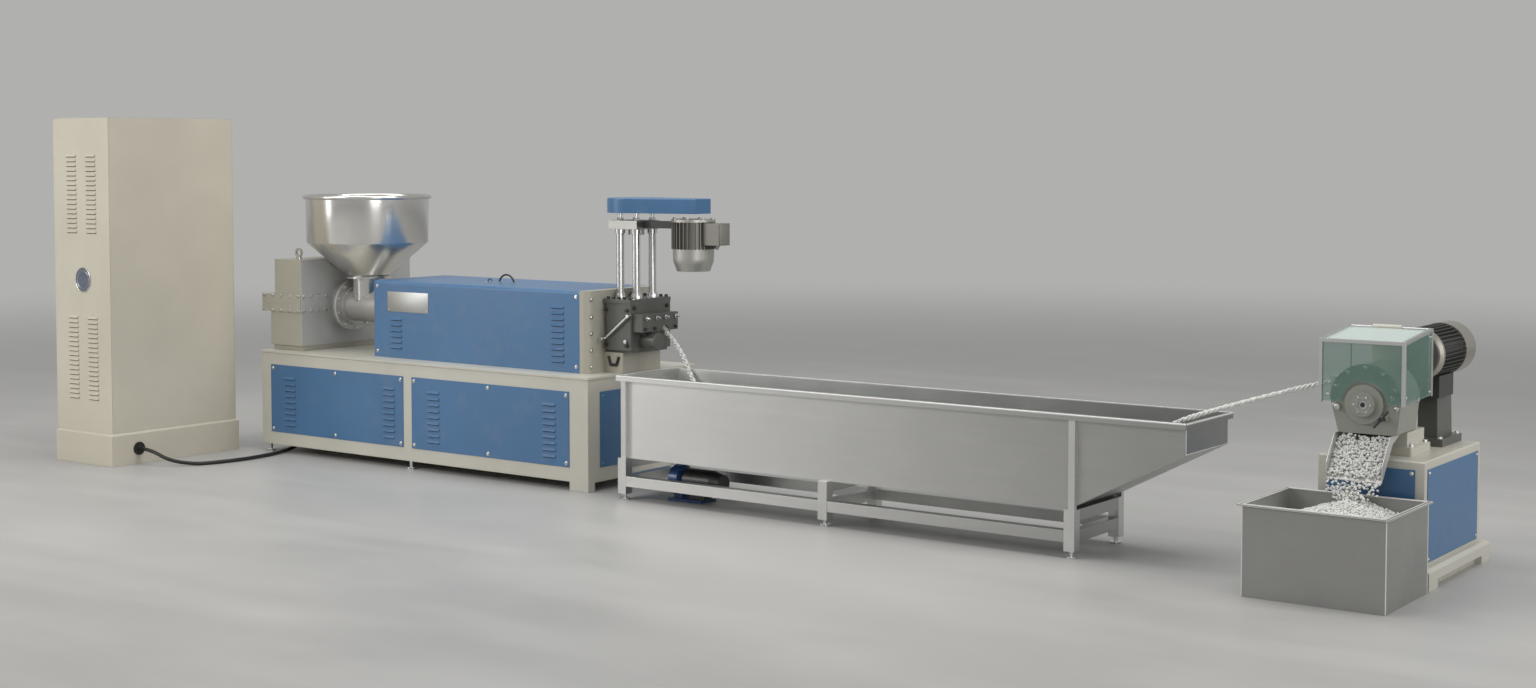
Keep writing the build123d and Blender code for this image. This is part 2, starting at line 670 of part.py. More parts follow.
# Belt cover: round end over the screw pulley, square end over the motor
belt_z = (plate_top + STUD_HEIGHT, plate_top + STUD_HEIGHT + BELT_HEIGHT)
with BuildPart() as belt_cover:
    with BuildSketch(Plane.XY.offset(belt_z[0])) as outline:
        with Locations((x_tower, y_axis)):
            Circle(BELT_BIG_RADIUS)
        reach = TOWER_MOTOR_REACH + BELT_SMALL_HALF
        lean = BELT_BIG_RADIUS
        with BuildLine():
            Polyline(
                [
                    (x_tower, y_axis - lean),
                    (x_tower + reach, y_axis - BELT_SMALL_HALF),
                    (x_tower + reach, y_axis + BELT_SMALL_HALF),
                    (x_tower, y_axis + lean),
                ],
                close=True,
            )
        make_face()
    extrude(outline.sketch, amount=BELT_HEIGHT)
    fillet(belt_cover.faces().sort_by(Axis.Z)[-1].edges(), radius=5)
keep("belt_cover", belt_cover.part)

# Vertical motor with cooling fins and a fan cowl
motor_top = plate_top + 12
fin_bottom = motor_top - MOTOR_SMALL_FINS
with BuildPart() as tower_motor:
    turned(
        [
            (0, MOTOR_SMALL_RADIUS),
            (14, MOTOR_SMALL_RADIUS),
            (14, MOTOR_SMALL_RADIUS - 16),
            (MOTOR_SMALL_FINS, MOTOR_SMALL_RADIUS - 16),
            (MOTOR_SMALL_FINS, MOTOR_SMALL_RADIUS - 6),
            (MOTOR_SMALL_FINS + 62, MOTOR_SMALL_RADIUS - 9),
            (MOTOR_SMALL_FINS + MOTOR_SMALL_COWL, MOTOR_SMALL_RADIUS - 28),
        ],
        (x_motor, y_axis, motor_top),
        (0, 0, -1),
    )
    with BuildSketch(Plane.XY.offset(fin_bottom)) as fins:
        with Locations((x_motor, y_axis)):
            with PolarLocations(MOTOR_SMALL_RADIUS - 9, 32):
                Rectangle(18, 3.5)
    extrude(fins.sketch, amount=MOTOR_SMALL_FINS - 14)
    block(
        (x_motor + MOTOR_SMALL_RADIUS - 24, x_motor + TERMINAL_REACH),
        span(y_axis, 90),
        (motor_top - 128, motor_top - 18),
    )
keep("tower_motor", tower_motor.part)

# Water trough: folded sheet with an out-turned rim and a raking end
trough_y = span(y_trough, TROUGH_WIDTH)
inner_y = (trough_y[0] + TROUGH_LIP, trough_y[1] - TROUGH_LIP)
trough_x = (x_trough + TROUGH_INSET, x_trough_end - TROUGH_LIP / 2)
side = [
    (trough_x[0], TROUGH_RIM),
    (trough_x[0], TROUGH_BOTTOM),
    (x_trough_end - TROUGH_SLOPE_RUN, TROUGH_BOTTOM),
    (trough_x[1], TROUGH_RIM - TROUGH_END_DROP),
    (trough_x[1], TROUGH_RIM),
]
inner_side = [
    (trough_x[0] + TROUGH_SHEET, TROUGH_RIM + 1),
    (trough_x[0] + TROUGH_SHEET, TROUGH_BOTTOM + TROUGH_SHEET),
    (x_trough_end - TROUGH_SLOPE_RUN - 1, TROUGH_BOTTOM + TROUGH_SHEET),
    (trough_x[1] - TROUGH_SHEET, TROUGH_RIM - TROUGH_END_DROP + 2),
    (trough_x[1] - TROUGH_SHEET, TROUGH_RIM + 1),
]


def trough_section(points, y, mode=Mode.ADD):
    """The trough's long profile drawn between two values across the line."""
    plane = Plane(origin=(0, y[0], 0), x_dir=(1, 0, 0), z_dir=(0, -1, 0))
    with BuildSketch(plane) as profile:
        with BuildLine():
            Polyline(points, close=True)
        make_face()
    extrude(profile.sketch, amount=y[0] - y[1], mode=mode)


sheet_y = (inner_y[0] + TROUGH_SHEET, inner_y[1] - TROUGH_SHEET)
with BuildPart() as trough_sides:
    trough_section(side, (inner_y[0], sheet_y[0]))
    trough_section(side, (sheet_y[1], inner_y[1]))
keep("trough_sides", trough_sides.part)
with BuildPart() as trough_floor:
    trough_section(side, sheet_y)
    trough_section(inner_side, (sheet_y[0] - 1, sheet_y[1] + 1), mode=Mode.SUBTRACT)
keep("trough_floor", trough_floor.part)

# Rim: angle section along all four sides
with BuildPart() as trough_rim:
    block((x_trough, x_trough_end), trough_y, (TROUGH_RIM - TROUGH_LIP, TROUGH_RIM))
    block(
        (x_trough + TROUGH_SHEET, x_trough_end - TROUGH_SHEET),
        (trough_y[0] + TROUGH_SHEET, trough_y[1] - TROUGH_SHEET),
        (TROUGH_RIM - TROUGH_LIP - 1, TROUGH_RIM - TROUGH_SHEET),
        mode=Mode.SUBTRACT,
    )
    block(trough_x, inner_y, (TROUGH_RIM - TROUGH_LIP - 1, TROUGH_RIM + 1), mode=Mode.SUBTRACT)
keep("trough_rim", trough_rim.part)

# Stand: six legs, rails low down on the long sides, and cross rails
leg_x = [x_trough + d + LEG / 2 for d in (LEG_FIRST, LEG_MIDDLE, LEG_LAST)]
leg_y = (trough_y[0] + LEG_SETBACK + LEG / 2, trough_y[1] - LEG_SETBACK - LEG / 2)
post_y = ((trough_y[0] + LEG_SETBACK, inner_y[0]), (inner_y[1], trough_y[1] - LEG_SETBACK))
with BuildPart() as trough_legs:
    for x in leg_x:
        for y in leg_y:
            block(span(x, LEG), span(y, LEG), (TROUGH_FOOT, TROUGH_BOTTOM))
    for x in (leg_x[0], leg_x[2]):
        for y in post_y:
            block((x - LEG / 10, x + LEG / 2), y, (TROUGH_BOTTOM, TROUGH_RIM - TROUGH_LIP))
keep("trough_legs", trough_legs.part)
rail_z = (TROUGH_RAIL_BOTTOM, TROUGH_RAIL_BOTTOM + LEG)
with BuildPart() as trough_rails:
    for a, b in ((leg_x[0], leg_x[1]), (leg_x[1], leg_x[2])):
        for y in leg_y:
            block((a + LEG / 2, b - LEG / 2), span(y, LEG - 4), rail_z)
    for x in leg_x:
        for z in (rail_z, (TROUGH_BOTTOM - LEG, TROUGH_BOTTOM)):
            block(span(x, LEG - 4), (leg_y[0] + LEG / 2, leg_y[1] - LEG / 2), z)
keep("trough_rails", trough_rails.part)

# Levelling feet: a disc and a stud under each leg of the stand and the near end of the base
with BuildPart() as levelling_feet:
    for x in leg_x:
        for y in leg_y:
            rod((x, y, 0), (x, y, 8), FOOT_RADIUS)
            rod((x, y, 8), (x, y, TROUGH_FOOT), 9)
    for y in (base_y[0] + 25, base_y[1] - 25):
        for x in (x_base + 40, mid_post):
            rod((x, y, 0), (x, y, 12), FOOT_RADIUS)
            rod((x, y, 12), (x, y, RAIL_UNDERSIDE), 10)
keep("levelling_feet", levelling_feet.part)

# Circulating pump on the floor under the trough
pump_y = trough_y[0] + PUMP_SETBACK
pump_x = x_trough + PUMP_X
with BuildPart() as pump_body:
    block((pump_x + PUMP_PLATE[0], pump_x + PUMP_PLATE[1]), span(pump_y, PUMP_PLATE_WIDTH), (0, PUMP_BASE))
    turned(
        [(0, PUMP_VOLUTE - 26), (18, PUMP_VOLUTE), (PUMP_THICK - 14, PUMP_VOLUTE), (PUMP_THICK, PUMP_VOLUTE - 26)],
        (pump_x - PUMP_LENGTH / 2 + 8, pump_y, PUMP_AXIS),
        (1, 0, 0),
    )
    block((pump_x - 140, pump_x - 90), span(pump_y, 60), (PUMP_BASE, 40))
    rod((pump_x - 122, pump_y, PUMP_AXIS), (pump_x - 122, pump_y, PUMP_AXIS + 82), 24)
    rod((pump_x - 122, pump_y, PUMP_AXIS + 82), (pump_x - 122, pump_y, TROUGH_BOTTOM), 17)
keep("pump_body", pump_body.part)
with BuildPart() as pump_motor:
    turned(
        [(0, 50), (12, PUMP_RADIUS), (170, PUMP_RADIUS), (196, PUMP_RADIUS - 8), (226, PUMP_RADIUS - 16)],
        (pump_x - PUMP_LENGTH / 2 + PUMP_THICK + 8, pump_y, PUMP_AXIS),
        (1, 0, 0),
    )
    block((pump_x - 40, pump_x + 48), span(pump_y, 70), (PUMP_BASE, 50))
keep("pump_motor", pump_motor.part)

# Collecting bin: an open sheet box with an out-turned rim
bin_x = span(x_bin, BIN_WIDTH)
bin_y = span(y_bin, BIN_DEPTH)
with BuildPart() as pellet_bin:
    block(bin_x, bin_y, (0, BIN_HEIGHT))
    block(
        (bin_x[0] - BIN_LIP, bin_x[1] + BIN_LIP),
        (bin_y[0] - BIN_LIP, bin_y[1] + BIN_LIP),
        (BIN_HEIGHT, BIN_HEIGHT + BIN_SHEET),
    )
    block(
        (bin_x[0] + BIN_SHEET, bin_x[1] - BIN_SHEET),
        (bin_y[0] + BIN_SHEET, bin_y[1] - BIN_SHEET),
        (BIN_SHEET, BIN_HEIGHT + BIN_SHEET + 1),
        mode=Mode.SUBTRACT,
    )
keep("pellet_bin", pellet_bin.part)

# Pelletizer base: plinth, box and bolted panels
pel_x = span(x_pel, PEL_WIDTH)
pel_y = (y_casing + PEL_BODY_SETBACK, y_casing + PEL_BODY_SETBACK + PEL_DEPTH)
plinth_x = (pel_x[0] - PEL_PLINTH_LIP, pel_x[1] + PEL_PLINTH_LIP)
plinth_y = (pel_y[0] - PEL_PLINTH_LIP, pel_y[1] + PEL_PLINTH_LIP)
with BuildPart() as pelletizer_plinth:
    block(plinth_x, plinth_y, (0, PLINTH_TOP))
    chamfer(pelletizer_plinth.faces().sort_by(Axis.Z)[-1].edges(), length=14)
    for x in plinth_x:
        block(span(x, 60), (plinth_y[0] + 110, plinth_y[1] - 110), (-1, 34), mode=Mode.SUBTRACT)
    for y in plinth_y:
        block((plinth_x[0] + 110, plinth_x[1] - 110), span(y, 60), (-1, 34), mode=Mode.SUBTRACT)
keep("pelletizer_plinth", pelletizer_plinth.part)
with BuildPart() as pelletizer_base:
    block(pel_x, pel_y, (PLINTH_TOP, PEL_TOP))
    chamfer(pelletizer_base.faces().sort_by(Axis.Z)[-1].edges(), length=6)
keep("pelletizer_base", pelletizer_base.part)
with BuildPart() as pelletizer_panels:
    for x in (pel_x[0] - PANEL_SHEET, pel_x[1]):
        block((x, x + PANEL_SHEET), (pel_y[0] + 36, pel_y[1] - 36), (PLINTH_TOP + 12, PEL_TOP - 34))
    for y in (pel_y[0] - PANEL_SHEET, pel_y[1]):
        block((pel_x[0] + 36, pel_x[1] - 36), (y, y + PANEL_SHEET), (PLINTH_TOP + 12, PEL_TOP - 34))
keep("pelletizer_panels", pelletizer_panels.part)

# Cutter casing: drum shell on a pedestal, with a mouth below its front for the pellets
drum_y = (y_casing + DOOR_PLATE, y_casing + CASING_DEPTH)
mouth_y = (drum_y[0], drum_y[0] + MOUTH_DEPTH)
bore_radius = ROTOR_RADIUS + MOVING


def casing_outline(y, hole=0):
    """Arch-shaped outline of the casing, narrowing to its flat foot, on the plane at y."""
    arch_z = CASING_AXIS + CASING_RISE
    with BuildSketch(Plane(origin=(0, y, 0), x_dir=(1, 0, 0), z_dir=(0, -1, 0))) as outline:
        with BuildLine():
            left = (x_casing - CASING_RADIUS, arch_z)
            right = (x_casing + CASING_RADIUS, arch_z)
            ThreePointArc(left, (x_casing, arch_z + CASING_RADIUS), right)
            Polyline(
                right,
                (x_casing + CASING_FOOT_RIGHT, CASING_MOUTH),
                (x_casing - CASING_FOOT_LEFT, CASING_MOUTH),
                left,
            )
        make_face()
        if hole:
            with Locations((x_casing, CASING_AXIS)):
                Circle(hole, mode=Mode.SUBTRACT)
    return outline.sketch


with BuildPart() as cutter_casing:
    extrude(casing_outline(drum_y[0], bore_radius), amount=-(CASING_DEPTH - DOOR_PLATE - CASING_WALL))
    extrude(casing_outline(drum_y[1] - CASING_WALL, SHAFT_RADIUS + RUNNING), amount=-CASING_WALL)
    fillet(cutter_casing.edges().filter_by(Axis.Y).group_by(Axis.Z)[0], radius=12)
    block(
        span(x_casing, 2 * CASING_FOOT_LEFT - 40),
        mouth_y,
        (CASING_MOUTH - 1, CASING_AXIS - 60),
        mode=Mode.SUBTRACT,
    )
    block(
        (x_casing - CASING_RADIUS - 1, x_casing - 40),
        inlet_y,
        inlet_z,
        mode=Mode.SUBTRACT,
    )
keep("cutter_casing", cutter_casing.part)

# Pedestal: foot plate, body and the bearing block behind the casing
ped_back = drum_y[1] + 126
with BuildPart() as casing_pedestal:
    block(span(x_casing, 300), (mouth_y[1] + 46, ped_back), (PEL_TOP, PEL_TOP + 36))
    fillet(casing_pedestal.edges().filter_by(Axis.Z), radius=10)
    with BuildSketch(Plane.XY.offset(PEL_TOP + 36)) as waist:
        with Locations((x_casing, (mouth_y[1] + 60 + ped_back - 10) / 2)):
            Rectangle(250, ped_back - mouth_y[1] - 70)
    extrude(waist.sketch, amount=CASING_MOUTH - PEL_TOP - 36)
    block(span(x_casing, 190), (drum_y[1], ped_back), (CASING_MOUTH, GUARD_BOTTOM - 20))
    block(span(x_casing, 190), (drum_y[1], drum_y[1] + BEARING_DEPTH), (CASING_MOUTH, CASING_AXIS + 62))
    fillet(casing_pedestal.edges().filter_by(Axis.Y).group_by(Axis.Z)[-1], radius=30)
    rod((x_casing, drum_y[1] - 1, CASING_AXIS), (x_casing, ped_back + 1, CASING_AXIS), SHAFT_RADIUS + 4,
        mode=Mode.SUBTRACT)
keep("casing_pedestal", casing_pedestal.part)

# Front door of the casing: arch plate, stepped hub, hinge knob and clamp boss
clamp = (x_casing + 81, CASING_AXIS - 50)
with BuildPart() as casing_door:
    extrude(casing_outline(y_casing), amount=-DOOR_PLATE)
    fillet(casing_door.edges().filter_by(Axis.Y).group_by(Axis.Z)[0], radius=12)
    rod((x_casing, y_casing, CASING_AXIS), (x_casing, y_casing - HUB_LENGTH / 2, CASING_AXIS), HUB_RADIUS)
    rod((x_casing, y_casing, CASING_AXIS), (x_casing, y_casing - HUB_LENGTH, CASING_AXIS), HUB_RING)
    knob = (x_casing - 109, CASING_AXIS - 16)
    rod((knob[0], y_casing, knob[1]), (knob[0], y_casing - 16, knob[1]), 13)
    rod((clamp[0], y_casing, clamp[1]), (clamp[0], y_casing - CLAMP_BOSS, clamp[1]), 14)
    rod((x_casing, y_casing + DOOR_PLATE + 1, CASING_AXIS), (x_casing, y_casing - HUB_LENGTH - 1, CASING_AXIS),
        SHAFT_RADIUS + RUNNING, mode=Mode.SUBTRACT)
    rod((clamp[0], y_casing + 1, clamp[1]), (clamp[0], y_casing - CLAMP_BOSS - 1, clamp[1]),
        CLAMP_SCREW + RUNNING, mode=Mode.SUBTRACT)
keep("casing_door", casing_door.part)

# Clamp: screw with a cross bar
bar_y = y_casing - CLAMP_REACH
with BuildPart() as clamp_handle:
    rod((clamp[0], y_casing, clamp[1]), (clamp[0], bar_y - 9, clamp[1]), CLAMP_SCREW)
    rod((clamp[0], y_casing - CLAMP_BOSS - 1, clamp[1]), (clamp[0], bar_y - 9, clamp[1]), 9)
    rod((clamp[0] - 28, bar_y, clamp[1] - 34), (clamp[0] + 28, bar_y, clamp[1] + 34), 4.5)
keep("clamp_handle", clamp_handle.part)

# Cutter rotor: shaft and drum with raked blades
rotor_y = (drum_y[0] + MOVING, drum_y[1] - CASING_WALL - MOVING)
with BuildPart() as cutter_rotor:
    rod((x_casing, y_casing - HUB_LENGTH + 4, CASING_AXIS), (x_casing, ped_back + 20, CASING_AXIS), SHAFT_RADIUS)
    rod((x_casing, rotor_y[0], CASING_AXIS), (x_casing, rotor_y[1], CASING_AXIS), ROTOR_CORE)
    for i in range(BLADES):
        for y, skew in ((rotor_y[0], 0), (rotor_y[1], BLADE_SKEW)):
            end_plane = Plane(origin=(x_casing, y, CASING_AXIS), x_dir=(1, 0, 0), z_dir=(0, -1, 0))
            with BuildSketch(end_plane):
                with PolarLocations((ROTOR_CORE + ROTOR_RADIUS) / 2 - 4, 1, start_angle=i * 360 / BLADES + skew):
                    Rectangle(ROTOR_RADIUS - ROTOR_CORE, 14, rotation=BLADE_RAKE)
        loft(ruled=True)
keep("cutter_rotor", cutter_rotor.part)

# Discharge chute: a folded floor running under the casing's mouth, with two side walls
chute_x = span(x_casing, CHUTE_WIDTH)
chute_lip = y_casing - CHUTE_REACH
door_line = y_casing - 2
floor_at_door = CHUTE_LIP_HEIGHT + (door_line - chute_lip) * tan(radians(CHUTE_SLOPE))


def chute_piece(points, x):
    """A sheet of the chute, drawn across the line and extruded between two values of x."""
    with BuildSketch(Plane.YZ.offset(x[0])) as outline:
        Polygon(*points, align=None)
    extrude(outline.sketch, amount=x[1] - x[0])


with BuildPart() as discharge_chute:
    thick = CHUTE_SHEET / 0.64
    chute_piece(
        [
            (chute_lip, CHUTE_LIP_HEIGHT - thick),
            (chute_lip, CHUTE_LIP_HEIGHT),
            (door_line, floor_at_door),
            (mouth_y[1], CASING_MOUTH - SEAT),
            (mouth_y[1], CASING_MOUTH - SEAT - thick),
            (door_line, floor_at_door - thick),
        ],
        chute_x,
    )
    for x in ((chute_x[0], chute_x[0] + CHUTE_SHEET), (chute_x[1] - CHUTE_SHEET, chute_x[1])):
        chute_piece(
            [
                (chute_lip, CHUTE_LIP_HEIGHT),
                (door_line, floor_at_door),
                (mouth_y[1], CASING_MOUTH - SEAT),
                (chute_lip + (CASING_MOUTH - CHUTE_LIP_HEIGHT - 64) / tan(radians(CHUTE_SLOPE)), CASING_MOUTH - SEAT),
                (chute_lip, CHUTE_LIP_HEIGHT + 62),
            ],
            x,
        )
    block(
        (chute_x[0], chute_x[1]),
        (mouth_y[1], mouth_y[1] + 18),
        (CASING_MOUTH - SEAT - thick, CASING_MOUTH - SEAT),
    )
keep("discharge_chute", discharge_chute.part)

# Feed throat: guides the strands into the left side of the casing
with BuildPart() as feed_throat:
    block(
        (x_casing - THROAT_REACH, x_casing - 60),
        (inlet_y[0] - 12, inlet_y[1] + 12),
        (inlet_z[0] - 12, inlet_z[1] + 12),
    )
    block((x_casing - THROAT_REACH - 1, x_casing), inlet_y, inlet_z, mode=Mode.SUBTRACT)
    arch_z = CASING_AXIS + CASING_RISE
    rod((x_casing, y_casing, arch_z), (x_casing, y_casing + 200, arch_z), CASING_RADIUS + SEAT, mode=Mode.SUBTRACT)
keep("feed_throat", feed_throat.part)

# Hinged guard: light frame with glass panes, open on the feed side and below
guard_x = (x_casing - GUARD_WIDTH + GUARD_RIGHT, x_casing + GUARD_RIGHT)
guard_y = (y_casing - 20, y_casing - 20 + GUARD_DEPTH)
hinge = (guard_y[1] - GUARD_BAR / 2, GUARD_BACK_TOP - GUARD_BAR / 2)
front_bar = (guard_y[0] + GUARD_BAR / 2, GUARD_FRONT_TOP - GUARD_BAR / 2)
with BuildPart() as guard_frame:
    for x in (guard_x[0] + GUARD_BAR / 2, guard_x[1] - GUARD_BAR / 2):
        block(span(x, GUARD_BAR), (guard_y[0], guard_y[0] + GUARD_BAR), (GUARD_BOTTOM, GUARD_FRONT_TOP))
        block(span(x, GUARD_BAR), (guard_y[1] - GUARD_BAR, guard_y[1]), (GUARD_BOTTOM + 14, hinge[1]))
        with BuildSketch(Plane.YZ.offset(x - GUARD_BAR / 2)) as bar:
            Polygon(
                (guard_y[0], GUARD_FRONT_TOP - GUARD_BAR),
                (guard_y[0], GUARD_FRONT_TOP),
                (guard_y[1] - GUARD_BAR / 2, GUARD_BACK_TOP),
                (guard_y[1] - GUARD_BAR / 2, GUARD_BACK_TOP - GUARD_BAR),
                align=None,
            )
        extrude(bar.sketch, amount=GUARD_BAR)
    block(guard_x, (guard_y[0], guard_y[0] + GUARD_BAR), (GUARD_FRONT_TOP - GUARD_BAR, GUARD_FRONT_TOP))
    rod((guard_x[0], *hinge), (guard_x[1], *hinge), GUARD_BAR / 2)
keep("guard_frame", guard_frame.part)

# Panes: front with a notch round the hub, top, and the side away from the feed
pane_x = (guard_x[0] + GUARD_BAR, guard_x[1] - GUARD_BAR)
rise = (hinge[1] - front_bar[1]) / (hinge[0] - front_bar[0])
with BuildPart() as guard_glass:
    block(
        pane_x,
        (guard_y[0] + 4, guard_y[0] + 4 + GLASS),
        (GUARD_BOTTOM + 6, GUARD_FRONT_TOP - GUARD_BAR),
    )
    rod((x_casing, guard_y[0], CASING_AXIS), (x_casing, guard_y[0] + 20, CASING_AXIS), HUB_RADIUS + 2 * MOVING,
        mode=Mode.SUBTRACT)
    pane_start = guard_y[0] + GUARD_BAR
    pane_end = hinge[0] - EYE_RADIUS - MOVING - 4
    with BuildSketch(Plane.YZ.offset(pane_x[0])) as top_pane:
        Polygon(
            (pane_start, front_bar[1] + rise * (pane_start - front_bar[0]) - GLASS / 2),
            (pane_start, front_bar[1] + rise * (pane_start - front_bar[0]) + GLASS / 2),
            (pane_end, front_bar[1] + rise * (pane_end - front_bar[0]) + GLASS / 2),
            (pane_end, front_bar[1] + rise * (pane_end - front_bar[0]) - GLASS / 2),
            align=None,
        )
    extrude(top_pane.sketch, amount=pane_x[1] - pane_x[0])
    side_end = guard_y[1] - GUARD_BAR
    with BuildSketch(Plane.YZ.offset(guard_x[1] - GUARD_BAR / 2 - GLASS / 2)) as side_pane:
        Polygon(
            (pane_start, GUARD_BOTTOM + 6),
            (pane_start, front_bar[1] + rise * (pane_start - front_bar[0]) - GUARD_BAR / 2 - 2),
            (side_end, front_bar[1] + rise * (side_end - front_bar[0]) - GUARD_BAR / 2 - 2),
            (side_end, GUARD_BOTTOM + 18),
            align=None,
        )
    extrude(side_pane.sketch, amount=GLASS)
keep("guard_glass", guard_glass.part)

# Bracket: upright plate behind the bearing block, with the hinge eye of the guard at its top
with BuildPart() as guard_bracket:
    plate_y = (drum_y[1] + BEARING_DEPTH, drum_y[1] + BEARING_DEPTH + 8)
    bracket_x = span(x_casing - 20, BRACKET_WIDTH)
    block(bracket_x, plate_y, (GUARD_BOTTOM - 20, hinge[1]))
    rod((bracket_x[0], *hinge), (bracket_x[1], *hinge), EYE_RADIUS)
    rod((bracket_x[0] - 1, *hinge), (bracket_x[1] + 1, *hinge), GUARD_BAR / 2 + RUNNING, mode=Mode.SUBTRACT)
    rod((x_casing, y_casing, CASING_AXIS), (x_casing, y_motor, CASING_AXIS), SHAFT_RADIUS + 8, mode=Mode.SUBTRACT)
keep("guard_bracket", guard_bracket.part)

# Drive case between the bearing block and the motor, round both shafts
motor_x = x_casing + MOTOR_OFFSET
with BuildPart() as drive_case:
    with BuildSketch(Plane(origin=(0, ped_back, 0), x_dir=(1, 0, 0), z_dir=(0, -1, 0))) as outline:
        with Locations((x_casing, CASING_AXIS)):
            Circle(70)
        with Locations((motor_x, MOTOR_HEIGHT)):
            Circle(MOTOR_RADIUS - 12)
        make_hull()
        with Locations((x_casing, CASING_AXIS)):
            Circle(SHAFT_RADIUS + RUNNING, mode=Mode.SUBTRACT)
    extrude(outline.sketch, amount=-(y_motor - ped_back))
keep("drive_case", drive_case.part)

# Pelletizer motor with a fan cowl and feet, on its own pedestal
foot_top = MOTOR_HEIGHT - MOTOR_RADIUS + 18
with BuildPart() as pelletizer_motor:
    turned(
        [
            (0, MOTOR_RADIUS - 20),
            (14, MOTOR_RADIUS),
            (30, MOTOR_RADIUS),
            (30, MOTOR_RADIUS - 16),
            (300, MOTOR_RADIUS - 16),
            (300, MOTOR_RADIUS + 2),
            (424, MOTOR_RADIUS + 2),
            (MOTOR_LENGTH, MOTOR_RADIUS - 18),
        ],
        (motor_x, y_motor, MOTOR_HEIGHT),
        (0, 1, 0),
    )
    with BuildSketch(Plane(origin=(0, y_motor + 30, 0), x_dir=(1, 0, 0), z_dir=(0, -1, 0))) as fins:
        with Locations((motor_x, MOTOR_HEIGHT)):
            with PolarLocations(MOTOR_RADIUS - 10, 36):
                Rectangle(20, 3.5)
    extrude(fins.sketch, amount=-270)
    block(span(motor_x, 150), (y_motor + 60, y_motor + 240), (PEDESTAL_TOP, foot_top))
keep("pelletizer_motor", pelletizer_motor.part)
ped_y = (y_motor + 118, y_motor + 304)
with BuildPart() as motor_pedestal:
    block(span(motor_x - PEDESTAL_SHIFT, PEDESTAL_FOOT), (ped_y[0] - 30, ped_y[1] + 36), (PEL_TOP, PEL_TOP + 32))
    with BuildSketch(Plane.XY.offset(PEL_TOP + 32)) as box:
        with Locations((motor_x - PEDESTAL_SHIFT, sum(ped_y) / 2)):
            Rectangle(PEDESTAL_WIDTH, ped_y[1] - ped_y[0])
    extrude(box.sketch, amount=PEDESTAL_TOP - PEL_TOP - 32, taper=1.2)
keep("motor_pedestal", motor_pedestal.part)

# Cable glands: one on the cabinet's plinth, one on the inlet box under the base
gland_a = (x_cabinet + CABINET_WIDTH, y_near + GLAND_SETBACK, GLAND_HEIGHT)
gland_b = (sum(box_x) / 2, box_y[0], 50)
with BuildPart() as cable_glands:
    turned([(0, 36), (6, 36), (6, 18), (GLAND_LENGTH, 15)], gland_a, (1, 0, 0))
    turned([(0, 24), (6, 24), (6, 18), (GLAND_LENGTH, 15)], gland_b, (0, -1, 0))
keep("cable_glands", cable_glands.part)


def cord(name, points, radius):
    """A tube along straight runs joined by tangent arcs as large as the runs allow."""
    path_points = [Vector(*p) for p in points]
    radii = []
    for before, corner, after in zip(path_points, path_points[1:], path_points[2:]):
        turn = (corner - before).get_angle(after - corner)
        shorter = min((corner - before).length, (after - corner).length)
        radii.append(0.45 * shorter / tan(radians(turn / 2)))
    print(name, "arc radii:", [round(r) for r in radii])
    with BuildPart() as tube:
        with BuildLine() as route:
            FilletPolyline(*path_points, radius=radii)
        with BuildSketch(Plane(origin=route.line @ 0, z_dir=route.line % 0)) as section:
            Circle(radius)
        sweep(section.sketch, path=route.line)
    length = sum(edge.length for edge in route.line.edges())
    share = tube.part.volume / (pi * radius**2 * length)
    print(name, "length", round(length), "volume share", round(share, 4))
    keep(name, tube.part)


cord(
    "power_cable",
    [
        (gland_a[0] + GLAND_LENGTH, gland_a[1], gland_a[2]),
        (gland_a[0] + 104, gland_a[1], gland_a[2]),
        (gland_a[0] + 212, gland_a[1] + 36, 3 * CABLE_RADIUS + 2),
        (gland_a[0] + 313, gland_a[1] + 120, CABLE_RADIUS + 1),
        (gland_b[0] + 70, gland_b[1] - 793, CABLE_RADIUS + 1),
        (gland_b[0] + 97, gland_b[1] - 641, CABLE_RADIUS + 1),
        (gland_b[0] + 88, gland_b[1] - 481, CABLE_RADIUS + 1),
        (gland_b[0] + 54, gland_b[1] - 341, CABLE_RADIUS + 1),
        (gland_b[0] + 14, gland_b[1] - 217, CABLE_RADIUS + 4),
        (gland_b[0], gland_b[1] - GLAND_LENGTH - 84, gland_b[2]),
        (gland_b[0], gland_b[1] - GLAND_LENGTH, gland_b[2]),
    ],
    CABLE_RADIUS,
)

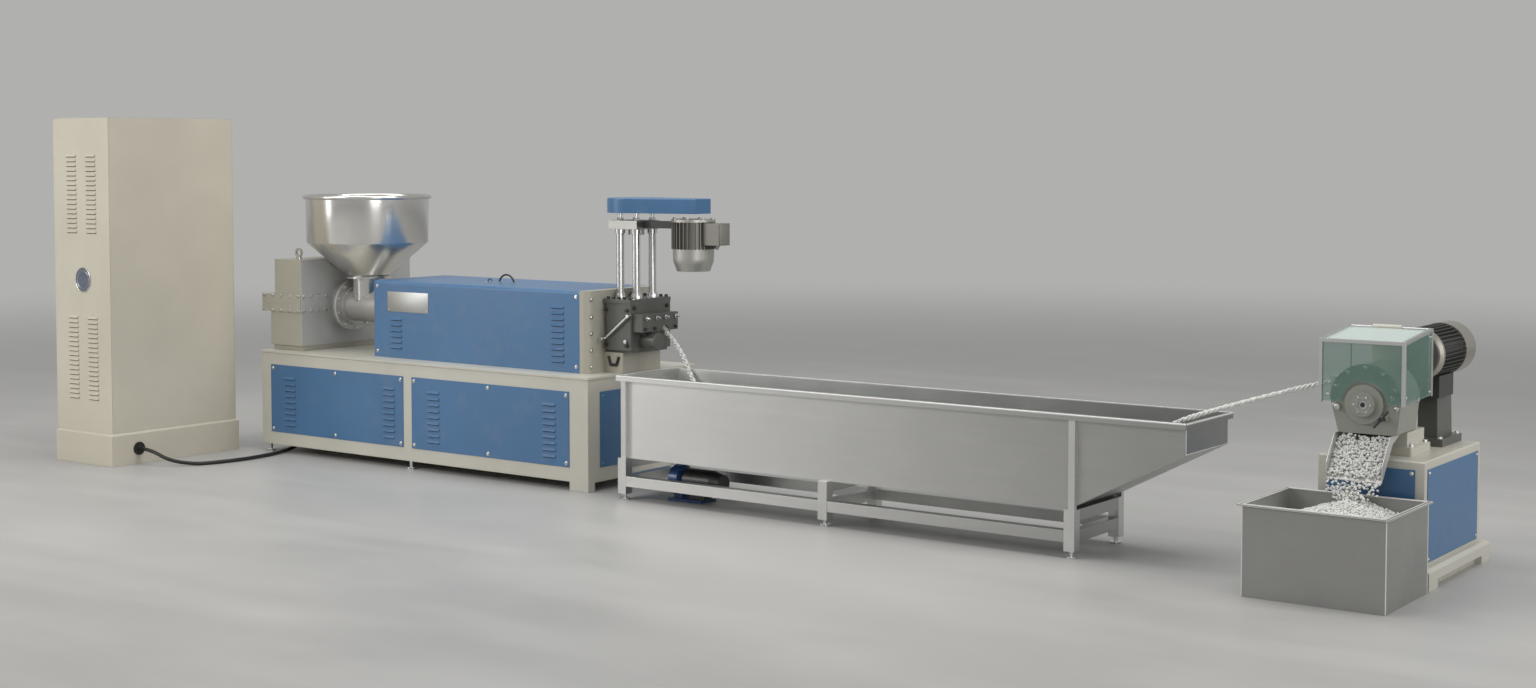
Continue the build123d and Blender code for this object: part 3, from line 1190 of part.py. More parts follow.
strand_in = (x_casing - THROAT_REACH - 4, sum(inlet_y) / 2, sum(inlet_z) / 2)
cord(
    "plastic_strands",
    [
        tuple(nozzle_end),
        tuple(nozzle_end + nozzle_run * 80),
        (x_head_end + 231, y_axis - 21, TROUGH_RIM + 60),
        (x_trough + 128, y_axis - 41, TROUGH_RIM - 12),
        (x_trough + 180, y_axis - 63, TROUGH_RIM - 72),
        (x_trough + 262, y_axis - 92, TROUGH_RIM - 122),
        (x_trough + 391, y_axis - 137, TROUGH_RIM - 156),
        (x_trough + 559, y_axis - 183, TROUGH_RIM - 167),
        (x_trough + 791, y_trough + 17, TROUGH_RIM - 164),
        (x_trough + 1043, y_trough + 7, TROUGH_RIM - 168),
        (x_trough + 1303, y_trough - 7, TROUGH_RIM - 165),
        (x_trough + 1563, y_trough + 1, TROUGH_RIM - 169),
        (x_trough_end - 1197, y_trough + 9, TROUGH_RIM - 165),
        (x_trough_end - 937, y_trough - 15, TROUGH_RIM - 168),
        (x_trough_end - 687, y_trough - 47, TROUGH_RIM - 162),
        (x_trough_end - 467, y_trough - 85, TROUGH_RIM - 146),
        (x_trough_end - 277, y_trough - 127, TROUGH_RIM - 112),
        (x_trough_end - 131, y_trough - 167, TROUGH_RIM - 42),
        (x_trough_end - 8, y_trough - 187, TROUGH_RIM + STRAND_RADIUS + 17),
        (strand_in[0] - 60, strand_in[1] - 6, strand_in[2] - 5),
        strand_in,
    ],
    STRAND_RADIUS,
)
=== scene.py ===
import math
import random

import bmesh
import bpy
from mathutils import Matrix, Vector


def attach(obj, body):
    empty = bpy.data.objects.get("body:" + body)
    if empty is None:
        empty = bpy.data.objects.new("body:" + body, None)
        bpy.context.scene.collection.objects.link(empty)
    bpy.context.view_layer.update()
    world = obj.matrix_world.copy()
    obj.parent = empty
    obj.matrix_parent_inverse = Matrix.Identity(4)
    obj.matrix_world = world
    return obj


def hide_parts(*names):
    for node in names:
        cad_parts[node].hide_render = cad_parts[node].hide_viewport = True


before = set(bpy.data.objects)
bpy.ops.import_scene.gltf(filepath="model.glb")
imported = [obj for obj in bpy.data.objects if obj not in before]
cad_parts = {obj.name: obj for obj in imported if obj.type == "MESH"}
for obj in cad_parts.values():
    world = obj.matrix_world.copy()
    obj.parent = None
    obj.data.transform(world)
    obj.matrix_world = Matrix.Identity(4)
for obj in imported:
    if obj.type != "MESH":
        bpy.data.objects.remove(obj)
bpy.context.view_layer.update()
bpy.context.scene.view_settings.view_transform = "Standard"


# Viewpoint: the camera stands off the pelletizer's near side at eye height and looks back along
# the line. Its lens is shifted down a little, so that uprights stay nearly upright.
seen_from = Vector((6.138, -7.624, 1.7013))
to_right = Vector((0.8069, 0.5908, 0.0)).normalized()
ahead = Vector((-0.5901, 0.8058, -0.04917)).normalized()
up = to_right.cross(ahead)
lens = bpy.data.cameras.new("viewpoint")
lens.sensor_width = 36.0
lens.lens = 47.1
lens.shift_y = -0.0593
lens.clip_end = 200.0
viewer = bpy.data.objects.new("viewpoint", lens)
bpy.context.scene.collection.objects.link(viewer)
stand = Matrix((to_right, up, -ahead)).transposed().to_4x4()
viewer.matrix_world = Matrix.Translation(seen_from) @ stand
bpy.context.scene.camera = viewer


# Workshop floor and light: a smooth pale sealed floor that runs out into a plain backdrop, under
# wide soft lamps overhead, to the near side and past the right end. Two tall strip lamps show
# only in gloss, as bright bands in polished metal.
class Value:
    """A number or colour that varies over a surface. Sums of it are written as Python sums."""

    def __init__(self, nodes, socket):
        self.nodes = nodes
        self.socket = socket

    def maths(self, kind, first, second):
        return self.nodes.node("ShaderNodeMath", {"operation": kind}, {0: first, 1: second})

    def __add__(self, other):
        return self.maths("ADD", self, other)

    def __sub__(self, other):
        return self.maths("SUBTRACT", self, other)

    def __rsub__(self, other):
        return self.maths("SUBTRACT", other, self)

    def __mul__(self, other):
        return self.maths("MULTIPLY", self, other)

    __radd__ = __add__
    __rmul__ = __mul__

    def least(self, other):
        return self.maths("MINIMUM", self, other)

    def between(self, low, high, start=0.0, end=1.0):
        """start where this is low, end where it is high, and smooth from one to the other."""
        ends = {"Value": self, "From Min": low, "From Max": high, "To Min": start, "To Max": end}
        return self.nodes.node("ShaderNodeMapRange", {"interpolation_type": "SMOOTHSTEP"}, ends)


class Nodes:
    """The shader nodes of one material or of the world."""

    def __init__(self, owner):
        owner.use_nodes = True
        self.owner = owner
        self.tree = owner.node_tree

    def give(self, made, values):
        for key, value in values.items():
            if isinstance(value, Value):
                self.tree.links.new(made.inputs[key], value.socket)
            elif value is not None:
                made.inputs[key].default_value = value

    def node(self, kind, chosen=None, values=None, result=0):
        made = self.tree.nodes.new(kind)
        for key, value in (chosen or {}).items():
            setattr(made, key, value)
        self.give(made, values or {})
        return Value(self, made.outputs[result])

    def place(self, stretch=(1.0, 1.0, 1.0)):
        """Where a point is on the object, in metres, squeezed along each axis."""
        spot = self.node("ShaderNodeTexCoord", result="Object")
        return self.node("ShaderNodeMapping", {}, {"Vector": spot, "Scale": stretch})

    def along(self, axis):
        """How far along one axis a point is on the object, in metres."""
        return self.node("ShaderNodeSeparateXYZ", {}, {0: self.place()}, result=axis)

    def cloud(self, scale, detail=3.0, stretch=(1.0, 1.0, 1.0)):
        """Soft noise from 0 to 1. Its scale is in lumps to the metre."""
        values = {"Vector": self.place(stretch), "Scale": scale, "Detail": detail}
        return self.node("ShaderNodeTexNoise", {}, values)

    def blend(self, share, first, second):
        """The first colour where share is 0, the second where it is 1."""
        ends = {0: share, 6: first, 7: second}
        return self.node("ShaderNodeMix", {"data_type": "RGBA"}, ends, result=2)


class Finish(Nodes):
    """A material with one surface shader, and soft edges for its relief."""

    def __init__(self, name, colour, roughness, metal=0.0, coat=0.0):
        super().__init__(bpy.data.materials.new(name))
        self.material = self.owner
        self.shader = self.tree.nodes["Principled BSDF"]
        self.dress(
            {"Base Color": colour, "Roughness": roughness, "Metallic": metal, "Coat Weight": coat}
        )

    def dress(self, values):
        self.give(self.shader, values)

    def edges(self, radius):
        """The surface's direction with its corners rounded to that radius."""
        return self.node("ShaderNodeBevel", {"samples": 4}, {"Radius": radius})

    def wear_and_highlight_edges(self, rounded):
        """1 along the edges, 0 on the flats."""
        straight = self.node("ShaderNodeNewGeometry", result="Normal")
        pair = {0: rounded, 1: straight}
        alike = self.node(
            "ShaderNodeVectorMath", {"operation": "DOT_PRODUCT"}, pair, result="Value"
        )
        return (1.0 - alike).between(0.02, 0.25)

    def relief(self, height, depth, rounded=None):
        values = {"Height": height, "Distance": depth, "Normal": rounded}
        self.dress({"Normal": self.node("ShaderNodeBump", {}, values)})


def shade(red, green, blue):
    """A colour as a screen shows it, 0 to 255, in the renderer's linear values."""
    def part(level):
        level /= 255
        return level / 12.92 if level <= 0.04045 else ((level + 0.055) / 1.055) ** 2.4
    return (part(red), part(green), part(blue), 1.0)


backdrop = shade(176, 176, 175)
warm_white = (1.0, 0.99, 0.97, 1.0)
sky = Nodes(bpy.data.worlds.new("studio"))
bpy.context.scene.world = sky.owner
seen = sky.node("ShaderNodeLightPath", result="Is Camera Ray")
mirrored = sky.node("ShaderNodeLightPath", result="Is Glossy Ray")
through = sky.node("ShaderNodeLightPath", result="Is Transmission Ray")
shown = (seen + mirrored + through).least(1.0)
lighting = sky.node("ShaderNodeBackground", {}, {"Color": warm_white, "Strength": 0.46})
picture = sky.node("ShaderNodeBackground", {}, {"Color": backdrop, "Strength": 1.0})
both = sky.node("ShaderNodeMixShader", {}, {0: shown, 1: lighting, 2: picture})
sky.tree.links.new(sky.tree.nodes["World Output"].inputs["Surface"], both.socket)

floor_finish = Finish("sealed_floor", shade(178, 178, 177), 0.4)
patches = floor_finish.cloud(0.7, 5.0).between(0.3, 0.7)
drawn = floor_finish.cloud(1.1, 6.0, (0.5, 2.2, 1.0)).between(0.35, 0.7)
floor_finish.dress(
    {
        "Base Color": floor_finish.blend(
            patches * 0.5 + drawn * 0.5, shade(170, 170, 169), shade(186, 186, 185)
        ),
        "Roughness": patches * 0.08 + drawn * 0.1 + 0.36,
        "Specular IOR Level": 0.35,
    }
)
fade_start, fade_end = 6.0, 18.0
distance = floor_finish.node(
    "ShaderNodeVectorMath", {"operation": "LENGTH"}, {0: floor_finish.place()}, result="Value"
)
far_off = floor_finish.node("ShaderNodeEmission", {}, {"Color": backdrop, "Strength": 1.0})
surface = Value(floor_finish, floor_finish.shader.outputs[0])
faded = floor_finish.node(
    "ShaderNodeMixShader",
    {},
    {0: distance.between(fade_start, fade_end), 1: surface, 2: far_off},
)
floor_output = floor_finish.tree.nodes["Material Output"]
floor_finish.tree.links.new(floor_output.inputs["Surface"], faded.socket)

floor_shape = bmesh.new()
bmesh.ops.create_grid(floor_shape, x_segments=8, y_segments=8, size=90.0)
floor_mesh = bpy.data.meshes.new("floor")
floor_shape.to_mesh(floor_mesh)
floor_shape.free()
floor_mesh.materials.append(floor_finish.material)
floor_plane = bpy.data.objects.new("floor", floor_mesh)
bpy.context.scene.collection.objects.link(floor_plane)


def lamp(name, at, towards, wide, deep, power):
    """A flat soft lamp that hangs at one point and faces another."""
    light = bpy.data.lights.new(name, "AREA")
    light.shape = "RECTANGLE"
    light.size = wide
    light.size_y = deep
    light.energy = power
    light.color = (1.0, 0.985, 0.96)
    hung = bpy.data.objects.new(name, light)
    hung.visible_camera = False
    bpy.context.scene.collection.objects.link(hung)
    aim = (Vector(towards) - Vector(at)).to_track_quat("-Z", "Y").to_matrix().to_4x4()
    hung.matrix_world = Matrix.Translation(Vector(at)) @ aim
    return hung


lamp("overhead", (0.0, 0.0, 5.6), (0.0, 0.0, 0.0), 10.0, 3.4, 230.0)
lamp("near_side", (-4.0, -6.4, 4.2), (-1.6, 0.0, 0.7), 5.0, 1.8, 200.0)
lamp("right_end", (8.5, 0.5, 3.4), (0.0, 0.0, 0.8), 2.4, 3.2, 120.0)
towards_hopper = (-2.5, 0.3, 1.2)
strips = (
    ("left_strip", (-5.4, -4.4, 1.9), 1.5, 42.0),
    ("right_strip", (7.4, -4.9, 1.9), 3.2, 110.0),
)
for name, at, wide, power in strips:
    strip = lamp(name, at, towards_hopper, wide, 3.4, power)
    strip.visible_diffuse = False


# Power cable: a thick black rubber cable from the cabinet's plinth to the inlet box under the
# base, lying on the floor in one loose bend.
def route(name, points, radius):
    """A smooth line through the air or along the floor, steered by a few points."""
    line = bpy.data.curves.new(name, "CURVE")
    line.dimensions = "3D"
    line.resolution_u = 12
    run = line.splines.new("NURBS")
    run.points.add(len(points) - 1)
    for steer, spot in zip(run.points, points):
        steer.co = (*spot, 1.0)
    run.order_u = 3
    run.use_endpoint_u = True
    line.bevel_depth = radius
    line.bevel_resolution = 6
    made = bpy.data.objects.new(name, line)
    bpy.context.scene.collection.objects.link(made)
    return made


cable_points = [
    (-3.115, -0.804, 0.085),
    (-3.039, -0.804, 0.085),
    (-2.931, -0.768, 0.032),
    (-2.830, -0.684, 0.011),
    (-2.782, -0.562, 0.011),
    (-2.755, -0.410, 0.011),
    (-2.764, -0.250, 0.011),
    (-2.798, -0.110, 0.011),
    (-2.838, 0.014, 0.014),
    (-2.852, 0.119, 0.050),
    (-2.852, 0.203, 0.050),
]
rubber = Finish("cable_rubber", shade(30, 30, 31), 0.55)
dust = rubber.cloud(60.0, 4.0).between(0.45, 0.75)
rubber.dress(
    {
        "Base Color": rubber.blend(dust * 0.5, shade(26, 26, 27), shade(52, 51, 49)),
        "Roughness": dust * 0.2 + 0.42,
    }
)
rubber.relief(rubber.cloud(900.0, 2.0), 0.0002)
cable = route("cabinet_cable", cable_points, 0.010)
cable.data.materials.append(rubber.material)
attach(cable, "line")
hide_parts("power_cable")


# Plastic strands: the melt leaves the die as a bundle of white strands, dips through the water
# and runs over the trough's end to the cutter, twisted together and thick in places.
strand_points = [
    (-0.3530, 0.3612, 0.7867),
    (-0.2882, 0.3464, 0.7422),
    (-0.208, 0.320, 0.672),
    (-0.155, 0.300, 0.600),
    (-0.103, 0.278, 0.540),
    (-0.021, 0.249, 0.490),
    (0.108, 0.204, 0.456),
    (0.276, 0.158, 0.445),
    (0.508, 0.128, 0.448),
    (0.760, 0.118, 0.444),
    (1.020, 0.104, 0.447),
    (1.280, 0.112, 0.443),
    (1.540, 0.120, 0.447),
    (1.800, 0.096, 0.444),
    (2.050, 0.064, 0.450),
    (2.270, 0.026, 0.466),
    (2.460, -0.016, 0.500),
    (2.606, -0.056, 0.570),
    (2.729, -0.076, 0.640),
    (3.146, 0.230, 0.775),
    (3.206, 0.236, 0.780),
]
middle = route("strand_line", strand_points, 0.0)
middle.data.resolution_u = 24
line_mesh = bpy.data.meshes.new_from_object(middle)
line_spots = [vertex.co.copy() for vertex in line_mesh.vertices]
bpy.data.objects.remove(middle)
strand_count, strand_radius, from_middle = 3, 0.0048, 0.0074
twist_length = 0.066
bead_length, bead_swell, bead_shift = 0.024, 0.4, 1.9
bundle = bpy.data.curves.new("strand_bundle", "CURVE")
bundle.dimensions = "3D"
bundle.resolution_u = 2
bundle.bevel_depth = strand_radius
bundle.bevel_resolution = 1
bundle.use_fill_caps = True
for strand in range(strand_count):
    turned = bundle.splines.new("NURBS")
    turned.points.add(len(line_spots) - 1)
    gone = 0.0
    for spot, (here, steer) in enumerate(zip(line_spots, turned.points)):
        before = line_spots[max(spot - 1, 0)]
        after = line_spots[min(spot + 1, len(line_spots) - 1)]
        gone += (here - before).length
        along = (after - before).normalized()
        aside = along.cross(Vector((0.0, 0.0, 1.0))).normalized()
        over = aside.cross(along)
        turn = math.tau * (gone / twist_length + strand / strand_count)
        out = aside * math.cos(turn) + over * math.sin(turn)
        steer.co = (*(here + out * from_middle), 1.0)
        wave = math.sin(gone * math.tau / bead_length + strand * bead_shift)
        steer.radius = 1.0 + bead_swell * wave
    turned.order_u = 3
    turned.use_endpoint_u = True
white_plastic = Finish("white_plastic", shade(232, 232, 229), 0.34)
milk = white_plastic.cloud(120.0, 3.0).between(0.3, 0.7)
white_plastic.dress(
    {
        "Base Color": white_plastic.blend(milk, shade(222, 223, 221), shade(238, 238, 235)),
        "Roughness": milk * 0.15 + 0.28,
    }
)
white_plastic.relief(white_plastic.cloud(300.0, 2.0), 0.0006)
bundle_object = bpy.data.objects.new("strand_bundle_line", bundle)
bpy.context.scene.collection.objects.link(bundle_object)
strands_mesh = bpy.data.meshes.new_from_object(bundle_object)
bpy.data.objects.remove(bundle_object)
strands_mesh.materials.clear()
strands_mesh.materials.append(white_plastic.material)
for face in strands_mesh.polygons:
    face.use_smooth = True
strands = bpy.data.objects.new("strand_bundle", strands_mesh)
bpy.context.scene.collection.objects.link(strands)
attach(strands, "line")
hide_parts("plastic_strands")


# Cabinet: folded sheet steel, powder coated beige, with a bare enamel roundel in a bright ring on
# its near side, shaded slots under the pressed louvres, and a round lock in the door.
def drum(shape, at, along, radius, height, sides, top=None):
    """A round or many-sided bar that starts at a point and may taper to its top."""
    turn = Vector(along).to_track_quat("Z", "Y").to_matrix().to_4x4()
    stand = Matrix.Translation(Vector(at)) @ turn @ Matrix.Translation((0.0, 0.0, height / 2))
    bmesh.ops.create_cone(
        shape,
        cap_ends=True,
        segments=sides,
        radius1=radius,
        radius2=radius if top is None else top,
        depth=height,
        matrix=stand,
    )


def slab(shape, low, high, rounding=0.0):
    """A block between two corners, with its edges rounded when a rounding is given."""
    low, high = Vector(low), Vector(high)
    stand = Matrix.Translation((low + high) / 2) @ Matrix.Diagonal((*(high - low), 1.0))
    made = bmesh.ops.create_cube(shape, size=1.0, matrix=stand)
    if rounding:
        rims = {rim for corner in made["verts"] for rim in corner.link_edges}
        bmesh.ops.bevel(
            shape,
            geom=list(rims),
            offset=rounding,
            offset_type="OFFSET",
            segments=2,
            profile=0.5,
            affect="EDGES",
            material=-1,
        )


def piece(name, shape, finish, body="line", angle=35.0):
    """Turns a finished shape into an object of its own that rides on a body."""
    bmesh.ops.recalc_face_normals(shape, faces=shape.faces)
    mesh = bpy.data.meshes.new(name)
    shape.to_mesh(mesh)
    shape.free()
    for face in mesh.polygons:
        face.use_smooth = True
    mesh.set_sharp_from_angle(angle=math.radians(angle))
    mesh.materials.append(finish.material)
    made = bpy.data.objects.new(name, mesh)
    bpy.context.scene.collection.objects.link(made)
    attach(made, body)
    return made


def coat(finish, *nodes):
    """Gives parts of the frame their finish."""
    for node in nodes:
        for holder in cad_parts[node].material_slots:
            holder.material = finish.material


def toned(colour, gain, lift=0.0):
    """A colour made darker, brighter or paler, but never past white."""
    return tuple(min(level * gain + lift, 1.0) for level in colour[:3]) + (1.0,)


def painted(name, colour, gloss, depth=0.00012):
    """Sprayed enamel: a little orange peel, faint clouds in its colour, and edges painted paler,
    partly as wear and partly as painted highlight.
    """
    made = Finish(name, colour, gloss, coat=0.15)
    clouds = made.cloud(1.7, 4.0).between(0.25, 0.75)
    dusty = made.cloud(9.0, 5.0).between(0.5, 0.8)
    rounded = made.edges(0.0035)
    # Paler edges: partly rubbed wear, partly a painted highlight where light catches the rounded
    # edges.
    edge_wear_and_highlight = made.wear_and_highlight_edges(rounded) * made.cloud(35.0, 4.0).between(0.35, 0.65, 0.25, 1.0)
    body = made.blend(clouds, toned(colour, 0.93), toned(colour, 1.05))
    body = made.blend(dusty * 0.08, body, shade(170, 164, 150))
    made.dress(
        {
            "Base Color": made.blend(edge_wear_and_highlight * 0.55, body, toned(colour, 0.7, 0.186)),
            "Roughness": clouds * 0.06 + dusty * 0.12 + (gloss - 0.04),
            "Coat Roughness": 0.25,
        }
    )
    made.relief(made.cloud(420.0, 2.0), depth, rounded)
    return made


beige = painted("beige_paint", shade(208, 202, 186), 0.4)
black_plastic = Finish("black_plastic", shade(33, 33, 34), 0.45)
grain = black_plastic.cloud(700.0, 3.0)
black_plastic.dress(
    {
        "Base Color": black_plastic.blend(
            black_plastic.cloud(40.0), shade(27, 27, 28), shade(40, 40, 40)
        ),
        "Roughness": grain * 0.15 + 0.36,
    }
)
black_plastic.relief(grain, 0.0002, black_plastic.edges(0.002))


def shaded(name, dark, light):
    """The shaded depth of a slot, a little uneven."""
    made = Finish(name, dark, 0.8)
    made.dress({"Base Color": made.blend(made.cloud(50.0), dark, light)})
    return made


slot_shadow = shaded("slot_shadow", shade(20, 20, 20), shade(34, 33, 31))
beige_shadow = shaded("beige_shadow", shade(96, 91, 80), shade(118, 112, 99))
blue_shadow = shaded("blue_shadow", shade(24, 42, 62), shade(34, 56, 80))
coat(beige, "cabinet_plinth", "cabinet_side_panels", "cabinet_back_panel")
coat(beige, "cabinet_roof", "cabinet_door")
coat(black_plastic, "door_hinges", "door_handle", "cable_glands")


def louvre_slots(shape, x, face, middle_height, count, pitch):
    """A dark strip under each hood of a column of louvres, painted shade for the opening there."""
    half_hood, opening = 0.007, 0.0045
    for number in range(count):
        low = middle_height + (number - (count - 1) / 2) * pitch - half_hood
        slab(shape, (x + 0.003, face - 0.0006, low - opening), (x + 0.085, face - 0.0001, low))


nearward, leftward = (0.0, -1.0, 0.0), (-1.0, 0.0, 0.0)
cabinet_face, cabinet_pitch = -0.964, 0.026
slots = bmesh.new()
for x in (-3.533, -3.359):
    louvre_slots(slots, x, cabinet_face, 1.485, 17, cabinet_pitch)
    louvre_slots(slots, x, cabinet_face, 0.585, 18, cabinet_pitch)
piece("cabinet_slots", slots, beige_shadow)

enamel = Finish("roundel_enamel", shade(88, 98, 116), 0.3, coat=0.6)
enamel.dress(
    {
        "Base Color": enamel.blend(
            enamel.cloud(70.0, 4.0).between(0.3, 0.7), shade(80, 90, 108), shade(98, 107, 122)
        )
    }
)
roundel_at = Vector((-3.394, cabinet_face, 1.012))
roundel_radius, roundel_depth = 0.062, 0.003
roundel = bmesh.new()
drum(roundel, roundel_at, nearward, roundel_radius, roundel_depth, 64)
piece("cabinet_roundel", roundel, enamel)
badge_rings = bmesh.new()
for radius, wide in ((0.0655, 0.0025), (0.050, 0.0010)):
    ring_start = bmesh.ops.create_circle(
        badge_rings,
        segments=10,
        radius=wide,
        matrix=Matrix.Translation(roundel_at + Vector((radius, -roundel_depth, 0.0))),
    )["verts"]
    bmesh.ops.spin(
        badge_rings,
        geom=ring_start + list({rim for dot in ring_start for rim in dot.link_edges}),
        cent=roundel_at,
        axis=nearward,
        angle=math.tau,
        steps=64,
        use_merge=True,
    )


def bright_metal(name, colour, gloss, scratch=0.0, stretch=(1.0, 1.0, 1.0), fineness=400.0):
    """Bare metal: fine lines from grinding or turning, and soft stains from handling."""
    made = Finish(name, colour, gloss, metal=1.0)
    lines = made.cloud(fineness, 2.0, stretch)
    stains = made.cloud(3.5, 4.0).between(0.3, 0.75)
    stained = (lines - 0.5) * 0.5 + stains * 0.7
    made.dress(
        {
            "Base Color": made.blend(stained, colour, toned(colour, 0.86)),
            "Roughness": lines * scratch + stains * 0.05 + gloss,
        }
    )
    made.relief(lines, 0.00004 + scratch * 0.0002, made.edges(0.002))
    return made


chrome = bright_metal("bright_steel", shade(214, 214, 214), 0.12, 0.05)
piece("cabinet_roundel_rings", badge_rings, chrome)

lock = bmesh.new()
drum(lock, (-3.6575, -0.911, 1.045), leftward, 0.009, 0.0014, 24)
piece("door_lock", lock, chrome, body="cabinet_door")


# Extruder base: a welded box frame in beige enamel, closed by blue sheet panels, each held by six
# screws, with pressed louvres near the posts.
def screw(shape, at, along, radius):
    """A pan-headed screw with a washer under it and a tapered crown."""
    at, along = Vector(at), Vector(along).normalized()
    drum(shape, at, along, radius * 1.45, radius * 0.22, 18)
    drum(shape, at + along * radius * 0.22, along, radius, radius * 0.42, 18)
    drum(shape, at + along * radius * 0.64, along, radius, radius * 0.3, 18, radius * 0.62)


blue = painted("blue_paint", shade(67, 113, 158), 0.36)
grey_beige = painted("grey_beige_paint", shade(203, 201, 190), 0.38)
coat(grey_beige, "base_frame")
coat(blue, "base_panels")
farward, rightward = (0.0, 1.0, 0.0), (1.0, 0.0, 0.0)
panel_spans = ((-2.913, -1.8355), (-1.7705, -0.638))
near_sheet, far_sheet, left_sheet, right_sheet = -0.072, 0.784, -2.996, -0.510
from_edge = 0.02
screw_rows = (0.117 + from_edge, 0.502 - from_edge)
screws = bmesh.new()
for face, outward in ((near_sheet, nearward), (far_sheet, farward)):
    for start, end in panel_spans:
        for x in (start + from_edge, (start + end) / 2, end - from_edge):
            for z in screw_rows:
                screw(screws, (x, face, z), outward, 0.0075)
for face, outward in ((left_sheet, leftward), (right_sheet, rightward)):
    for y in (0.041, 0.356, 0.671):
        for z in screw_rows:
            screw(screws, (face, y, z), outward, 0.0028)
piece("panel_screws", screws, chrome)
cover_face = 0.061
slots = bmesh.new()
for x in (-2.795, -1.991, -1.650, -0.818):
    louvre_slots(slots, x, near_sheet, 0.298, 9, 0.033)
for x, middle_height, count in ((-2.069, 0.718, 6), (-0.878, 0.777, 10)):
    louvre_slots(slots, x, cover_face, middle_height, count, 0.031)
piece("panel_slots", slots, blue_shadow)


# Gearbox: two cast halves bolted together along a flange band, painted beige and darkened as
# painted shade, with a ground steel plate on the side of the barrel and a lifting eye on top.
def hex_bolt(shape, at, along, radius):
    """A six-sided head with a chamfered crown on a washer, and the end of its thread."""
    at, along = Vector(at), Vector(along).normalized()
    drum(shape, at, along, radius * 1.25, radius * 0.2, 20)
    drum(shape, at + along * radius * 0.2, along, radius, radius * 0.7, 6)
    drum(shape, at + along * radius * 0.9, along, radius * 0.86, radius * 0.14, 20, radius * 0.7)


def smoothed(node, finish, body="line"):
    """A copy of a turned or rounded part with its facets joined, so that light runs smoothly."""
    shape = bmesh.new()
    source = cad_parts[node].data.copy()
    for kept in [layer for layer in source.attributes if layer.name == "custom_normal"]:
        source.attributes.remove(kept)
    shape.from_mesh(source)
    bmesh.ops.remove_doubles(shape, verts=shape.verts, dist=0.00002)
    mesh = bpy.data.meshes.new(node + "_smooth")
    shape.to_mesh(mesh)
    shape.free()
    for face in mesh.polygons:
        face.use_smooth = True
    mesh.set_sharp_from_angle(angle=math.radians(30.0))
    mesh.materials.clear()
    mesh.materials.append(finish.material)
    made = bpy.data.objects.new(node + "_smooth", mesh)
    bpy.context.scene.collection.objects.link(made)
    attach(made, body)
    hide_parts(node)
    return made


upright_lines = (60.0, 60.0, 1.0)
ground_plate = bright_metal("satin_steel", shade(214, 214, 213), 0.34, 0.12, upright_lines, 8.0)
ground_plate.dress({"Metallic": 0.65})
# The gearbox and end housing take a darker copy of the beige paint: painted shade on them.
beige_in_painted_shade = painted("gearbox_paint", shade(178, 175, 162), 0.42)
coat(beige_in_painted_shade, "gearbox_lower", "gearbox_upper", "end_housing")
face_plate = bright_metal("face_plate", shade(196, 196, 195), 0.38, 0.12, upright_lines, 8.0)
face_plate.dress({"Metallic": 0.3})
coat(face_plate, "gearbox_face")
smoothed("lifting_eye", chrome)
above_split, below_split = 0.891, 0.809
band_near, band_right = -0.012, -2.721
band_bolts = bmesh.new()
for z in (above_split, below_split):
    for x in (-3.036, -2.962, -2.888, -2.814, -2.746):
        hex_bolt(band_bolts, (x, band_near, z), nearward, 0.0075)
    for y in (0.010, 0.064, 0.118, 0.172):
        hex_bolt(band_bolts, (band_right, y, z), rightward, 0.0075)
piece("gearbox_bolts", band_bolts, chrome)


# Barrel and hopper: a turned thrust flange and barrel, and a hopper spun from stainless sheet
# and polished to a mirror, with a rolled rim.
def socket_bolt(shape, at, along, radius):
    """A round cap head with a rounded crown and a sunk six-sided socket."""
    at, along = Vector(at), Vector(along).normalized()
    drum(shape, at, along, radius, radius * 1.25, 20)
    drum(shape, at + along * radius * 1.25, along, radius, radius * 0.16, 20, radius * 0.86)
    drum(shape, at + along * radius * 1.42, along, radius * 0.55, radius * 0.02, 6)


def ring(count, radius, start=0.0):
    """Places spaced evenly round a circle, each as a step across and a step over."""
    for number in range(count):
        turn = math.tau * (number + start) / count
        yield radius * math.cos(turn), radius * math.sin(turn)


turned_lines = (90.0, 1.0, 1.0)
turned_steel = bright_metal("machined_steel", shade(200, 199, 196), 0.3, 0.1, turned_lines, 6.0)
turned_steel.dress({"Metallic": 0.75})
mirror = bright_metal("polished_steel", shade(222, 221, 218), 0.17, 0.05, (1.0, 1.0, 60.0), 5.0)
smoothed("barrel", turned_steel)
smoothed("feed_neck", mirror)
smoothed("neck_flange", mirror)
upward, downward = (0.0, 0.0, 1.0), (0.0, 0.0, -1.0)
axis_y, axis_height = 0.341, 0.828
hopper_x = -2.550
wall = 0.003
outline = (
    (0.1180, 1.0000),
    (0.3400, 1.1925),
    (0.3440, 1.2000),
    (0.3497, 1.4500),
    (0.3497 - wall, 1.4500),
    (0.3440 - wall, 1.2010),
    (0.3400 - wall, 1.1945),
    (0.1180 - wall, 1.0020),
)
hopper = bmesh.new()
corners = [hopper.verts.new((hopper_x + radius, axis_y, z)) for radius, z in outline]
for first, second in zip(corners, corners[1:] + corners[:1]):
    hopper.edges.new((first, second))
origin = (0.0, 0.0, 0.0)
on_edge = Matrix.Rotation(math.pi / 2, 3, "X")
bead = bmesh.ops.create_circle(hopper, segments=14, radius=0.0118)["verts"]
bmesh.ops.rotate(hopper, verts=bead, cent=origin, matrix=on_edge)
bmesh.ops.translate(hopper, verts=bead, vec=(hopper_x + 0.353, axis_y, 1.456))
bmesh.ops.spin(
    hopper,
    geom=hopper.verts[:] + hopper.edges[:],
    cent=(hopper_x, axis_y, 0.0),
    axis=upward,
    angle=math.tau,
    steps=120,
    use_merge=True,
)
hopper_shell = piece("hopper_shell", hopper, mirror, angle=50.0)
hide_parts("hopper")
flange_face, neck_underside = -2.661, 0.988
flange_bolts = bmesh.new()
